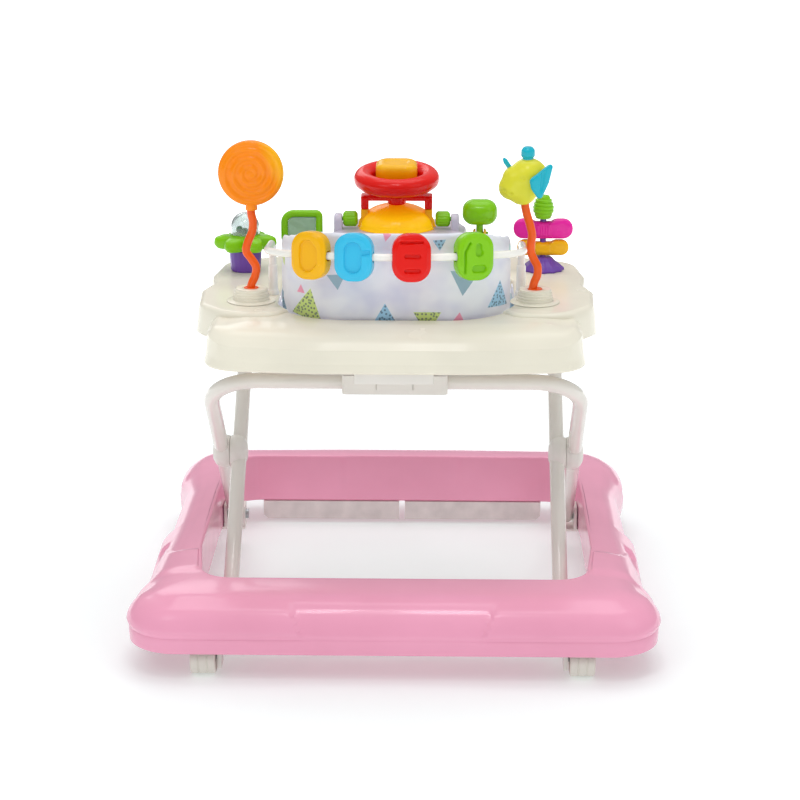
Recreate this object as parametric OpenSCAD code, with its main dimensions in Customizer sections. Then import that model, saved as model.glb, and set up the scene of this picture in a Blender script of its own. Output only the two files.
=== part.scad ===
// Baby walker: a moulded base ring on four wheels, a scissor frame of two bent steel
// tubes, and a tray with a fabric seat, a letter bar and plug-in toys.
// The child faces +Y. The origin is on the floor under the middle of the base.

/* [Base] */
// Full width of the base ring over its rear bumper
base_w = 628; // [600:2:660]
// Length of the base ring from the rear bumper to the front edge
base_l = 650; // [640:2:670]
// Height of the ring's lower edge above the floor
base_z = 32; // [30:1:34]
// Height of the ring's top
base_top = 98; // [94:1:104]

/* [Wheels] */
// Radius of a rear wheel
rear_r = 20; // [18:0.5:20]
// Radius of a front caster wheel
front_r = 18; // [16:0.5:18]

/* [Frame] */
// Outer radius of the bent steel tubes
tube_r = 9; // [8:0.5:9]
// Radius of the bend between a leg and its cross bar
bend_r = 66; // [50:1:70]
// Half distance between the outer tube's legs
outer_x = 225; // [224:1:226]
// Half distance between the inner tube's legs
inner_x = 203; // [202:1:204]

/* [Tray] */
// Height of the tray's deck
deck_z = 403; // [400:1:406]
// Height of the tray's lower edge
skirt_z = 350; // [348:1:352]
// Half width of the seat opening
seat_x = 144; // [140:1:146]
// Height of the top of the backrest
back_top = 507; // [490:1:515]

/* [Toys] */
// Outer radius of the steering wheel
steer_r = 55; // [50:1:57]
// Tilt of the steering wheel towards the child, in degrees
steer_tilt = 7; // [4:1:10]
// Radius of the round head on the left stalk
lolly_r = 39.5; // [32:0.5:40]
// Width of a letter bead
bead_w = 45; // [40:1:46]
// Height of a letter bead
bead_h = 56; // [50:1:57]

/* [Hidden] */

gap = 0.3;            // clearance between parts that don't touch
run = 0.06;           // radial clearance of a running fit
pin_r = 4;            // radius of the frame's pivot pins
axle_r = 3;           // radius of the wheel axles
wall = 4;             // thickness of the moulded shells

// Pivots of the scissor frame, as [y, z]
front_low = [150, 46];
rear_low = [-166, 46];
front_top = [150, 322];
rear_top = [-166, 322];
cross = (front_low + rear_top) / 2;
arm = norm(rear_top - front_low);
outer_angle = atan2(rear_top[1] - front_low[1], rear_top[0] - front_low[0]);
inner_angle = atan2(front_top[1] - rear_low[1], front_top[0] - rear_low[0]);

rear_wheel = [222, -295, rear_r];
caster_stem = [248, 276];
caster_trail = 10;
deck_top = deck_z + gap;            // where the tray's fittings stand
panel_top = 452;
stalk_x = [-176, 168];
stalk_y = -97;
stalk_r = 4.5;
pot = [-197, 70];
butterfly = [184, 82];
mirror_at = [-126, 96];
mirror_z = 454;
gear_at = [103, 96];
gear_pivot_z = 447;
steer = [-4, 104, 517];
dome_at = [-4, 112];
roller_z = 465;
peg_r = 4;                          // pegs that the turning toys sit on

// ---- Outlines -------------------------------------------------------------------
function unit(v) = v / norm(v);
function xy(c) = [c[0], c[1]];

// Arc that rounds corner b between its neighbours a and c. A corner is [x, y, radius].
function corner_arc(a, b, c, n) =
    let (u = unit(xy(a) - xy(b)), v = unit(xy(c) - xy(b)), half = acos(u * v) / 2,
         centre = xy(b) + unit(u + v) * b[2] / sin(half),
         from = xy(b) + u * b[2] / tan(half) - centre,
         to = xy(b) + v * b[2] / tan(half) - centre,
         start = atan2(from[1], from[0]),
         turn = atan2(from[0] * to[1] - from[1] * to[0], from * to))
    [for (i = [0:n]) centre + b[2] * [cos(start + turn * i / n), sin(start + turn * i / n)]];

function outline(c, n = 6) = let (k = len(c))
    [for (i = [0:k - 1]) each corner_arc(c[(i + k - 1) % k], c[i], c[(i + 1) % k], n)];

// Corners of the same outline, moved inwards by d. Corners run anticlockwise.
function inset(c, d) = let (k = len(c))
    [for (i = [0:k - 1])
        let (e = unit(xy(c[i]) - xy(c[(i + k - 1) % k])),
             f = unit(xy(c[(i + 1) % k]) - xy(c[i])),
             n = [-e[1], e[0]], m = [-f[1], f[0]],
             p = xy(c[i]) + d * (n + m) / (1 + n * m))
        [p[0], p[1], max(1, c[i][2] - d * sign(e[0] * f[1] - e[1] * f[0]))]];

// A right half, from rear to front, joined to its mirror image
function both_halves(h) = concat(h, [for (i = [len(h) - 1:-1:0]) [-h[i][0], h[i][1], h[i][2]]]);

base_x = base_w / 2;
base_y = base_l / 2;
base_outer = both_halves([[base_x, -base_y, 60], [base_x, -212, 16], [base_x - 10, -202, 8],
    [base_x - 8, -16, 6], [base_x - 17, -6, 8], [base_x - 18, 150, 80],
    [base_x - 7, 215, 50], [base_x - 7, base_y - 7, 78], [80, base_y, 300]]);
base_inner = both_halves([[228, -236, 38], [241, -120, 80], [241, 90, 80], [237, 248, 44]]);
tray_rear = both_halves([[90, -241, 260], [228, -228, 48], [228, -56, 12]]);
tray_front = both_halves([[110, -204, 150], [206, -180, 66], [246, -98, 62], [249, -38, 28],
    [238, 0, 24], [242, 46, 30], [232, 130, 44], [110, 184, 120], [40, 192, 200]]);
seat_hole = both_halves([[seat_x, -176, 88], [seat_x, 58, 44]]);
panel_outline = both_halves([[84, 66, 20], [88, 122, 40], [74, 172, 40]]);

// ---- Small helpers --------------------------------------------------------------
module slab(c, z0, z1) {
    translate([0, 0, z0]) linear_extrude(z1 - z0) polygon(outline(c));
}
module pair() {
    children();
    mirror([1, 0, 0]) children();
}
module rod_x(r, x0, x1, fn = 48) {
    translate([x0, 0, 0]) rotate([0, 90, 0]) cylinder(r = r, h = x1 - x0, $fn = fn);
}
module box(x0, x1, y0, y1, z0, z1) {
    translate([x0, y0, z0]) cube([x1 - x0, y1 - y0, z1 - z0]);
}
// Places children at a frame pivot given as [y, z]
module at(p) {
    translate([0, p[0], p[1]]) children();
}
// Disc with rounded rims, about the Z axis and centred on z = 0
module round_disc(r, t, e) {
    rotate_extrude($fn = 64) polygon(concat([[0, -t / 2]],
        [for (a = [-90:15:0]) [r - e + e * cos(a), -t / 2 + e + e * sin(a)]],
        [for (a = [0:15:90]) [r - e + e * cos(a), t / 2 - e + e * sin(a)]],
        [[0, t / 2]]));
}

// ---- Base -----------------------------------------------------------------------
// The ring steps inwards as it rises: [from z, to z, inset]
base_steps = [[base_z, 52, 0], [52, 66, 3], [66, 80, 9], [80, 90, 18], [90, base_top, 29]];
module base_shell() {
    color("hotpink") difference() {
        union() for (s = base_steps) slab(inset(base_outer, s[2]), s[0], s[1]);
        slab(base_inner, base_z - 1, base_top + 1);
        difference() {
            union() {
                slab(inset(base_outer, 8), base_z - 1, 60);
                slab(inset(base_outer, 22), base_z - 1, 86);
            }
            slab(inset(base_inner, -wall), base_z - 2, base_top);
        }
        // notches where the slide channels enter the rear rail
        pair() box(184, 226, -262, -204, base_z - 1, 68);
    }
}

bracket_x = [210.5, 238.6];     // inner and outer face of a front pivot bracket
module front_pivot_brackets() {
    rear = front_low[0] - 15;
    front = front_low[0] + 15;
    color("ivory") pair() difference() {
        union() {
            box(outer_x + tube_r + 0.6, bracket_x[1], rear, front, 31.5, 62);
            box(bracket_x[0], outer_x - tube_r - 0.6, rear + 2, front - 2, 31.5, 60);
            box(bracket_x[0], 250, rear, front, 28.5, 31.7);
        }
        at(front_low) rod_x(pin_r, 200, 245);
    }
}
module front_pivot_pins() {
    color("dimgray") pair() at(front_low) {
        rod_x(pin_r, bracket_x[0], bracket_x[1]);
        rod_x(6.5, bracket_x[0] - 4, bracket_x[0]);
    }
}

channel = [-274, -142];         // first and last y of the slide channels
module slide_channels() {
    color("ivory") pair() {
        box(186.5, 219.5, channel[0], channel[1], 28.5, 31.7);
        box(186.5, 189, channel[0], channel[1], 31.7, 44);
        box(217, 219.5, channel[0], channel[1], 31.7, 44);
        box(219.5, 246, -210, channel[1], 28.5, 31.7);
    }
}

// Strips that grip the floor if a front wheel drops over an edge
strip_z = 6;
module brake_strips() {
    color("lightgray") pair() translate([0, 256, 0]) rotate([90, 0, 0]) linear_extrude(9)
        polygon([[4, strip_z], [188, strip_z], [194, strip_z + 6], [194, base_z - gap],
            [4, base_z - gap]]);
}

leg_x = [-21.5, -16.5];         // sides of a rear axle's leg, from the wheel's middle
module rear_wheel_mounts() {
    color("ivory") pair() translate([rear_wheel[0], rear_wheel[1], 0]) difference() {
        union() {
            box(leg_x[0], 18, -21, 9, 44, 59.8);
            box(leg_x[0], leg_x[1], -12, 12, 10, 44);
        }
        translate([0, 0, rear_wheel[2]]) rod_x(axle_r, leg_x[0] - 1, leg_x[1] + 1);
    }
}
module rear_axles() {
    color("silver") pair() translate(rear_wheel) rod_x(axle_r, leg_x[0], 14);
}
module caster_sockets() {
    color("ivory") pair() translate([caster_stem[0], caster_stem[1], 0]) difference() {
        translate([0, 0, 47]) cylinder(r = 14, h = 38.7, $fn = 48);
        translate([0, 0, 46]) cylinder(r = 5 + run, h = 34, $fn = 48);
    }
}

// ---- Wheels ---------------------------------------------------------------------
// One moulded wheel on the X axis, from x0 to x1, with a dished outer face
module wheel(r, x0, x1) {
    difference() {
        translate([(x0 + x1) / 2, 0, 0]) rotate([0, 90, 0]) round_disc(r, abs(x1 - x0), 2.5);
        rod_x(axle_r + run, min(x0, x1) - 1, max(x0, x1) + 1);
    }
}
module rear_wheel_right() {
    color("white") translate(rear_wheel) wheel(rear_r, leg_x[1] + 2, 15.5);
}
module rear_wheel_left() {
    color("white") mirror([1, 0, 0]) translate(rear_wheel) wheel(rear_r, leg_x[1] + 2, 15.5);
}
module twin_wheel() {
    pair() wheel(front_r, 2.9, 11.4);
}
module front_wheel_right() {
    color("white") translate([caster_stem[0], caster_stem[1] - caster_trail, front_r]) twin_wheel();
}
module front_wheel_left() {
    color("white") translate([-caster_stem[0], caster_stem[1] - caster_trail, front_r]) twin_wheel();
}
module caster() {
    translate([0, 0, 39]) cylinder(r = 19, h = 7.5, $fn = 64);
    translate([0, 0, 40]) cylinder(r = 5, h = 38, $fn = 48);
    box(-2.4, 2.4, -caster_trail - 8, 6, 12, 39.5);
    translate([0, -caster_trail, front_r]) rod_x(axle_r, -11, 11);
}
module caster_right() {
    color("ivory") translate([caster_stem[0], caster_stem[1], 0]) caster();
}
module caster_left() {
    color("ivory") translate([-caster_stem[0], caster_stem[1], 0]) caster();
}

// ---- Scissor frame --------------------------------------------------------------
// A bent tube drawn upright: legs at x = -half and half rise from z = 0 to the cross bar
// at z = arm. Its pivot holes lie along X at the foot and at mid height.
module bent_rod(half, r) {
    pair() {
        translate([half, 0, 0]) cylinder(r = r, h = arm - bend_r, $fn = 48);
        translate([half - bend_r, 0, arm - bend_r]) rotate([90, 0, 0])
            rotate_extrude(angle = 90, $fn = 96) translate([bend_r, 0]) circle(r = r, $fn = 48);
    }
    translate([0, 0, arm]) rod_x(r, bend_r - half, half - bend_r);
}
module bent_tube(half) {
    difference() {
        union() {
            bent_rod(half, tube_r);
            pair() translate([half, 0, 0]) sphere(r = tube_r, $fn = 48);
        }
        translate([0, 0, 0.01]) bent_rod(half, tube_r - 1.5);
        for (z = [0, arm / 2])
            translate([0, 0, z]) pair() rod_x(pin_r + run, half - 12, half + 12);
    }
}
module outer_tube() {
    color("whitesmoke") at(front_low) rotate([outer_angle - 90, 0, 0]) bent_tube(outer_x);
}
module inner_tube() {
    color("whitesmoke") at(rear_low) rotate([inner_angle - 90, 0, 0]) bent_tube(inner_x);
}
// Round plastic cover clipped over a tube at the crossing
module hub_cover(x, angle) {
    difference() {
        translate([x, 0, 0]) rotate([0, 90, 0]) round_disc(18, 21.4, 4);
        rod_x(pin_r + run, x - 12, x + 12);
        rotate([angle - 90, 0, 0]) translate([x, 0, -30]) cylinder(r = tube_r, h = 60, $fn = 48);
    }
}
module outer_hub_covers() {
    color("ivory") pair() at(cross) hub_cover(outer_x, outer_angle);
}
module inner_hub_covers() {
    color("ivory") pair() at(cross) hub_cover(inner_x, inner_angle);
}
module cross_pins() {
    color("dimgray") pair() at(cross) rod_x(pin_r, 193.5, 234.5);
}
module slide_shoes() {
    color("ivory") pair() at(rear_low) {
        difference() {
            union() {
                box(189.6, inner_x - tube_r - 0.5, -11, 11, -13.8, 10);
                box(inner_x + tube_r + 0.5, 216.4, -11, 11, -13.8, 10);
                box(189.6, 216.4, -11, 11, -13.8, -10);
            }
            rod_x(pin_r, 188, 218);
        }
        rod_x(pin_r, 189.6, 216.4);
    }
}

// ---- Height adjuster ------------------------------------------------------------
slider_y = [-20, 14];           // rear and front face of the slider, from its pivot
slider_shape = [[63, slider_y[0], 6], [63, slider_y[1], 6], [-63, slider_y[1], 6],
    [-63, slider_y[0], 6]];
module height_slider() {
    color("white") at(rear_top) difference() {
        slab(slider_shape, -11.5, 11.5);
        rod_x(tube_r + run, -70, 70);
        box(-22, 22, slider_y[0] - 1, -12.3, -6, 6);
    }
}
module height_latch() {
    color("lightgray") at(rear_top) box(-21.5, 21.5, -22.5, -16.5, -5.5, 5.5);
}
// Slotted plate under the tray that the latch locks into
module height_rack() {
    color("ivory") difference() {
        union() {
            box(-42, 42, -228, -170, 335.5, 340);
            pair() box(42, 46, -228, -178, 335.5, 372.7);
        }
        for (y = [-182, -199, -216]) box(-20, 20, y - 4, y + 4, 334, 342);
    }
}

// ---- Tray -----------------------------------------------------------------------
module tray_shell() {
    color("ivory") difference() {
        union() {
            slab(tray_rear, skirt_z, 377);
            slab(inset(tray_rear, 8), 377, 388);
            slab(inset(tray_rear, 20), 388, 397);
            slab(tray_front, skirt_z, deck_z - 5);
            slab(inset(tray_front, 3), deck_z - 5, deck_z);
        }
        slab(seat_hole, skirt_z - 1, deck_z + 1);
        slab(inset(tray_rear, wall), skirt_z - 1, 373);
        slab(inset(tray_rear, 24), skirt_z - 1, 393);
        slab(inset(tray_front, wall + 3), skirt_z - 1, deck_z - wall);
    }
}
module front_bar_clamps() {
    color("ivory") for (x = [-96, 96]) at(front_top) difference() {
        box(x - 12, x + 12, -15, 15, -14, deck_z - wall - front_top[1] - 0.2);
        rod_x(tube_r + run, x - 20, x + 20);
    }
}
// Sockets that hold the two stalk toys
module stalk_sockets() {
    color("ivory") for (x = stalk_x) translate([x, stalk_y, deck_top]) difference() {
        union() {
            cylinder(r = 22.5, h = 4.5, $fn = 64);
            translate([0, 0, 4]) cylinder(r = 21, h = 4.5, $fn = 64);
            translate([0, 0, 8]) cylinder(r = 19.5, h = 8.5, $fn = 64);
        }
        translate([0, 0, 2]) cylinder(r = 9 + run, h = 20, $fn = 48);
    }
}
// Hooks under the deck that the seat's loops hang on
module seat_clips() {
    color("lightgray") pair() {
        for (y = [-70, 10]) box(seat_x + 2, seat_x + 14, y - 8, y + 8, 386, deck_z - wall - gap);
        box(48, 64, 60, 72, 386, deck_z - wall - gap);
    }
}

// ---- Letter bar -----------------------------------------------------------------
bar_r = 4.5;
bar_side = 152;                // half width of the bar's sides
bar_post_y = -60;              // y of the two posts
bar_low = 468;                 // height of the bar's line over the posts
bar_rise = atan2(15, 152);     // slope of the bar's plane, up towards the rear
rear_bow = 240;                // radius of the bowed rear stretch
bar_bend = 45;                 // radius of the two rear bends
post_bend = 20;
post_top = bar_low - post_bend * cos(bar_rise);
bow_turn = asin((bar_side - bar_bend) / (rear_bow - bar_bend));
bar_back = 154 / cos(bar_rise);   // from the posts to the bar's rearmost line
bow_centre = bar_back - rear_bow;
bend_back = bow_centre + (rear_bow - bar_bend) * cos(bow_turn);

// Arc of the bar in its plane, and a slightly larger ball that closes a joint
module bar_arc(centre, r, from, to) {
    translate([centre[0], -centre[1], 0]) rotate([0, 0, -90 + from])
        rotate_extrude(angle = to - from, $fn = 96) translate([r, 0]) circle(r = bar_r, $fn = 32);
}
module knuckle(x, y) {
    translate([x, y, 0]) sphere(r = bar_r + 0.5, $fn = 32);
}
slit = 0.3;                    // gap left inside a knuckle
module play_bar() {
    corner = [bar_side - bar_bend, bend_back];
    color("white") {
        translate([0, bar_post_y, bar_low]) rotate([-bar_rise, 0, 0]) {
            bar_arc([0, bow_centre], rear_bow, -bow_turn, bow_turn);
            pair() {
                bar_arc(corner, bar_bend, bow_turn + slit, 90 - slit);
                translate([bar_side, -post_bend - slit, 0]) rotate([90, 0, 0])
                    cylinder(r = bar_r, h = bend_back - post_bend - slit, $fn = 32);
                translate([bar_side, -post_bend, -post_bend]) rotate([90, 0, 90])
                    rotate_extrude(angle = 90, $fn = 96) translate([post_bend, 0])
                        circle(r = bar_r, $fn = 32);
                knuckle(corner[0] + bar_bend * sin(bow_turn), -corner[1] - bar_bend * cos(bow_turn));
                knuckle(bar_side, -bend_back);
                knuckle(bar_side, -post_bend);
            }
        }
        pair() translate([bar_side, bar_post_y - post_bend * sin(bar_rise), deck_top])
            cylinder(r = bar_r + 1.2, h = post_top - deck_top + 1, $fn = 32);
    }
}

// Places children on the bowed stretch at x, with the bar along their X axis
module on_bow(x) {
    turn = asin(x / rear_bow);
    translate([0, bar_post_y, bar_low]) rotate([-bar_rise, 0, 0])
        translate([x, -bow_centre - rear_bow * cos(turn), 0]) rotate([0, 0, turn]) children();
}
bead_shape = [[bead_w / 2, -bead_h / 2, 19], [bead_w / 2, bead_h / 2, 19],
    [-bead_w / 2, bead_h / 2, 19], [-bead_w / 2, -bead_h / 2, 19]];
// Rounded bead, drilled wide enough for the bar's bow
module bead(x) {
    on_bow(x) difference() {
        rotate([90, 0, 0]) {
            translate([0, 0, -7]) linear_extrude(14) polygon(outline(bead_shape));
            translate([0, 0, -10]) linear_extrude(20) polygon(outline(inset(bead_shape, 3)));
        }
        rod_x(bar_r + 1.6, -bead_w, bead_w);
    }
}
module bead_yellow() {
    color("gold") bead(-97);
}
module bead_cyan() {
    color("deepskyblue") bead(-46);
}
module bead_red() {
    color("red") bead(20);
}
module bead_green() {
    color("limegreen") bead(92);
}

// ---- Seat -----------------------------------------------------------------------
back_shape = outline([[-146, 366, 6], [146, 366, 6], [146, 484, 34], [100, back_top, 90],
    [-100, back_top, 90], [-146, 484, 34]]);
// Padded band that stands up from the rear of the seat opening
module backrest_pad() {
    color("lavender") intersection() {
        difference() {
            slab(inset(seat_hole, 2.8), 360, back_top + 1);
            slab(inset(seat_hole, 17), 359, back_top + 2);
            box(-200, 200, -96, 200, 350, back_top + 3);
        }
        rotate([90, 0, 0]) translate([0, 0, 60]) linear_extrude(140) polygon(back_shape);
    }
}
// The seat's cloth: a shallow sling in four tiers, with two leg openings in its pan.
// A tier is [half width, rear y, front y, rear corner's cut, front corner's cut, lower z].
cloth = 7;                     // thickness of the sling's solid
tiers = [[124, -155, 39, 52, 26, 350], [116, -143, 33, 45, 24, 328], [106, -62, 34, 22, 22, 304]];
rim = [141, -94, 55, 0.5, 26, 360];
tier_h = 26;

// A tier's outline, moved inwards by d, with its corners cut off straight
function tier_line(t, d) = let (x = t[0] - d, y0 = t[1] + d, y1 = t[2] - d)
    [[x - t[3], y0], [x, y0 + t[3]], [x, y1 - t[4]], [x - t[4], y1],
     [t[4] - x, y1], [-x, y1 - t[4]], [-x, y0 + t[3]], [t[3] - x, y0]];
module tier(t, d, z0, z1) {
    translate([0, 0, z0]) linear_extrude(z1 - z0) polygon(tier_line(t, d));
}
module seat_sling() {
    color("whitesmoke") difference() {
        union() {
            for (t = tiers) tier(t, 0, t[5], t[5] + tier_h);
            tier(rim, 0, rim[5], deck_z - 8);
        }
        for (t = tiers) tier(t, cloth, t[5] + cloth, t[5] + 40);
        tier(rim, cloth, rim[5] + cloth, deck_z);
        box(-rim[0] + cloth, rim[0] - cloth, rim[1] - 1, rim[1] + 9, rim[5] + cloth, deck_z);
        pair() translate([62, 0, 0]) tier([30, -50, 21, 12, 12], 0, 290, 320);
    }
}

// ---- Stalk toys -----------------------------------------------------------------
// Bent rod through a list of points, with a slightly larger ball at each joint
module bent_path(points, r) {
    for (i = [0:len(points) - 2]) {
        d = points[i + 1] - points[i];
        translate(points[i]) {
            rotate([0, acos(d[2] / norm(d)), atan2(d[1], d[0])])
                cylinder(r = r, h = norm(d), $fn = 32);
            sphere(r = r + 0.5, $fn = 32);
        }
    }
}
// A wavy stalk from [x, z] points, and the plug that holds it in its socket
module stalk_toy(x, waves, top) {
    points = [for (w = waves) [w[0], stalk_y, w[1]]];
    last = points[len(points) - 1];
    translate([x, stalk_y, deck_top + 2.3]) cylinder(r = 9, h = 15, $fn = 48);
    bent_path(concat(points, [[last[0], last[1], top]]), stalk_r);
}
lolly_z = 560;
module stalk_left() {
    color("orangered") stalk_toy(stalk_x[0], [[-177, 421], [-169, 444], [-182, 464], [-172, 490],
        [-174, 508]], lolly_z - lolly_r + 12);
}
module lollipop() {
    color("orange") translate([-174, stalk_y, lolly_z]) difference() {
        rotate([90, 0, 0]) round_disc(lolly_r, 17, 6);
        translate([0, 0, -lolly_r - 1]) cylinder(r = stalk_r + run, h = 13.5, $fn = 32);
    }
}
head_at = [156, -97, 561];
module stalk_right() {
    color("orangered") stalk_toy(stalk_x[1], [[165, 421], [171, 445], [162.5, 463], [163, 484],
        [154, 512]], head_at[2] - 15);
}
module giraffe_head() {
    color("khaki") difference() {
        hull() {
            translate(head_at + [2, 0, -5]) sphere(r = 23, $fn = 32);
            translate(head_at + [-20, -3, -18]) sphere(r = 14.5, $fn = 32);
            translate(head_at + [-6, 0, -23]) sphere(r = 16.5, $fn = 32);
        }
        translate([154, stalk_y, 500]) cylinder(r = stalk_r + run, h = head_at[2] - 512,
            $fn = 32);
    }
}
ear_shape = [[10, 2, 8], [6, 26, 7], [-8, 22, 7], [-11, -14, 8], [0, -26, 4]];
module giraffe_ears() {
    color("darkturquoise") translate(head_at) {
        rotate([0, 0, -50]) translate([25, 0, -8]) rotate([90, 0, 90]) linear_extrude(4)
            polygon(outline(ear_shape));
        rotate([0, 0, 150]) translate([25, 0, 14]) rotate([90, 0, 90]) linear_extrude(4)
            scale(0.5) polygon(outline(ear_shape));
        translate([2, 0, 25.5]) sphere(r = 7, $fn = 32);
    }
}

// ---- Side toys ------------------------------------------------------------------
pot_z = 431;
collar_z = [pot_z + 0.5, pot_z + 20];
module rattle_pot() {
    color("rebeccapurple") translate([pot[0], pot[1], 0]) {
        translate([0, 0, deck_top]) cylinder(r = 21, h = pot_z - deck_top, $fn = 64);
        translate([0, 0, pot_z - 1]) cylinder(r = peg_r, h = 16, $fn = 48);
    }
}
module rattle_collar() {
    color("yellowgreen") translate([pot[0], pot[1], 0]) difference() {
        union() {
            translate([0, 0, collar_z[0]]) cylinder(r = 25, h = 19.5, $fn = 64);
            for (a = [0:60:300]) rotate([0, 0, a]) translate([32, 0, collar_z[0] + 1])
                cylinder(r = 9, h = 17, $fn = 32);
        }
        translate([0, 0, pot_z]) cylinder(r = peg_r + run, h = 30, $fn = 48);
    }
}
dome_r = 18.5;
module rattle_dome() {
    color("lightcyan", 0.5) translate([pot[0], pot[1], collar_z[1] + gap]) difference() {
        union() {
            cylinder(r = dome_r, h = 9, $fn = 64);
            translate([0, 0, 9]) sphere(r = dome_r, $fn = 64);
        }
        translate([0, 0, -1]) cylinder(r = dome_r - 2, h = 10, $fn = 64);
        translate([0, 0, 9]) sphere(r = dome_r - 2, $fn = 64);
        box(-30, 30, -30, 30, -30, 0);
    }
}
module rattle_beads() {
    color("seagreen") translate([pot[0], pot[1], collar_z[1] + 5]) {
        for (a = [30:120:270]) rotate([0, 0, a]) translate([9, 0, 0]) sphere(r = 4.5, $fn = 32);
    }
}
module butterfly_base() {
    color("mediumpurple") translate([butterfly[0], butterfly[1], 0]) {
        translate([0, 0, deck_top]) cylinder(r = 27, h = 6, $fn = 64);
        translate([0, 0, deck_top + 5.5]) cylinder(r = 18, h = 5, $fn = 64);
        translate([0, 0, deck_top + 10]) cylinder(r = 12, h = 7.5, $fn = 48);
        translate([0, 0, deck_top + 17]) cylinder(r = peg_r, h = 66, $fn = 48);
    }
}
// A flat pair of wings, t thick, that turns on the base's peg
module wings(z, reach, lobe_r, t) {
    translate([butterfly[0], butterfly[1], 0]) difference() {
        translate([0, t / 2, z]) rotate([90, 0, 0]) linear_extrude(t) {
            square([2 * (reach - lobe_r), 1.5 * lobe_r], center = true);
            for (x = [-1, 1]) translate([x * (reach - lobe_r), 0]) circle(r = lobe_r, $fn = 48);
        }
        translate([0, 0, z - 40]) cylinder(r = peg_r + run, h = 80, $fn = 48);
    }
}
module butterfly_lower_wings() {
    color("gold") wings(432.5, 33, 10.2, 14);
}
module butterfly_wings() {
    color("deeppink") wings(457, 38, 12.8, 16);
}
module butterfly_head() {
    color("yellowgreen") translate([butterfly[0], butterfly[1], 0]) difference() {
        union() {
            translate([0, 0, 470.5]) cylinder(r = 10, h = 5, $fn = 48);
            translate([0, 0, 475]) cylinder(r = 13, h = 15, $fn = 48);
            translate([0, 0, 489.5]) cylinder(r = 9.5, h = 10.5, $fn = 48);
        }
        translate([0, 0, 469]) cylinder(r = peg_r + run, h = 18, $fn = 48);
    }
}

// ---- Toy panel ------------------------------------------------------------------
door = [-30, 30, 412, 442];     // x from and to, z from and to, of the battery opening
bump_x = [70, 80.5];            // inner and outer side of the roller housings
module toy_panel() {
    color("lavender") difference() {
        union() {
            slab(panel_outline, deck_top, panel_top);
            translate([steer[0], 0, 0]) pair()
                box(bump_x[0], bump_x[1], 90, 112, panel_top - 1, 472);
        }
        slab(inset(panel_outline, 3), deck_top - 1, panel_top - 3);
        box(door[0] - 0.5, door[1] + 0.5, 165, 175, door[2] - 0.5, door[3] + 0.5);
        translate([steer[0], 101, roller_z]) pair() rod_x(3 + run, bump_x[0] - 2, bump_x[0] + 9);
    }
}
module battery_door() {
    color("lavender") box(door[0], door[1], 169.4, 171.9, door[2], door[3]);
}
module batteries() {
    color("darkgray") for (z = [419, 435]) translate([0, 159, z]) {
        rod_x(7.2, -25, 24);
        rod_x(2.7, 24, 25.5);
    }
}
leg = [36, 46];                 // inner and outer side of the yoke's legs
module panel_dome() {
    color("gold") difference() {
        translate([dome_at[0], dome_at[1], panel_top + gap]) difference() {
            dome_solid(46, 31);
            dome_solid(43, 28);
        }
        translate([steer[0], steer[1], 0]) pair()
            box(leg[0] - 0.5, leg[1] + 9, -7.5, 7.5, panel_top - 1, 500);
    }
}
// Dome of radius r and height h, turned from a quarter ellipse
module dome_solid(r, h) {
    rotate_extrude($fn = 96)
        polygon(concat([[0, 0]], [for (a = [0:7.5:90]) [r * cos(a), h * sin(a)]]));
}
// Places children in the steering wheel's tilted frame
module at_wheel() {
    translate(steer) rotate([steer_tilt, 0, 0]) children();
}
shaft_r = 5;
module panel_yoke() {
    color("red") difference() {
        union() {
            at_wheel() {
                box(-leg[1], leg[1], -9, 9, -28, -22);
                translate([0, 0, -33]) cylinder(r = 12, h = 10, $fn = 48);
            }
            translate([steer[0], steer[1], 0]) pair()
                box(leg[0], leg[1], -7, 7, panel_top + gap, steer[2] - 23.5);
        }
        at_wheel() translate([0, 0, -40]) cylinder(r = shaft_r + run, h = 30, $fn = 48);
    }
}
rim_r = 12;
module steering_wheel() {
    color("red") at_wheel() difference() {
        union() {
            rotate_extrude($fn = 96) translate([steer_r - rim_r, 0]) circle(r = rim_r, $fn = 48);
            translate([0, 0, -9]) cylinder(r = steer_r - 20, h = 6, $fn = 64);
            translate([0, 0, -17]) cylinder(r = 12, h = 9, $fn = 48);
            translate([0, 0, -32]) cylinder(r = shaft_r, h = 16, $fn = 48);
        }
        translate([0, 0, -16]) cylinder(r = 3 + run, h = 20, $fn = 32);
    }
}
horn_shape = [[26.5, -21, 12], [26.5, 21, 12], [-26.5, 21, 12], [-26.5, -21, 12]];
module horn_button() {
    color("gold") at_wheel() {
        slab(horn_shape, 0.5, 17);
        slab(inset(horn_shape, 3), 16, 22);
        translate([0, 0, -11]) cylinder(r = 3, h = 12, $fn = 32);
    }
}
module panel_rollers() {
    color("yellowgreen") translate([steer[0], 101, roller_z]) pair() {
        translate([59.5, 0, 0]) rotate([0, 90, 0]) round_disc(10, 19, 3);
        rod_x(3, 60, bump_x[0] + 8);
    }
}

// ---- Mirror and gear lever ------------------------------------------------------
mirror_w = 54;
mirror_h = 46;
mirror_border = 7;
mirror_shape = [[mirror_w / 2, -mirror_h / 2, 10], [mirror_w / 2, mirror_h / 2, 10],
    [-mirror_w / 2, mirror_h / 2, 10], [-mirror_w / 2, -mirror_h / 2, 10]];
mirror_foot = mirror_z - mirror_h / 2;
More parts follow.
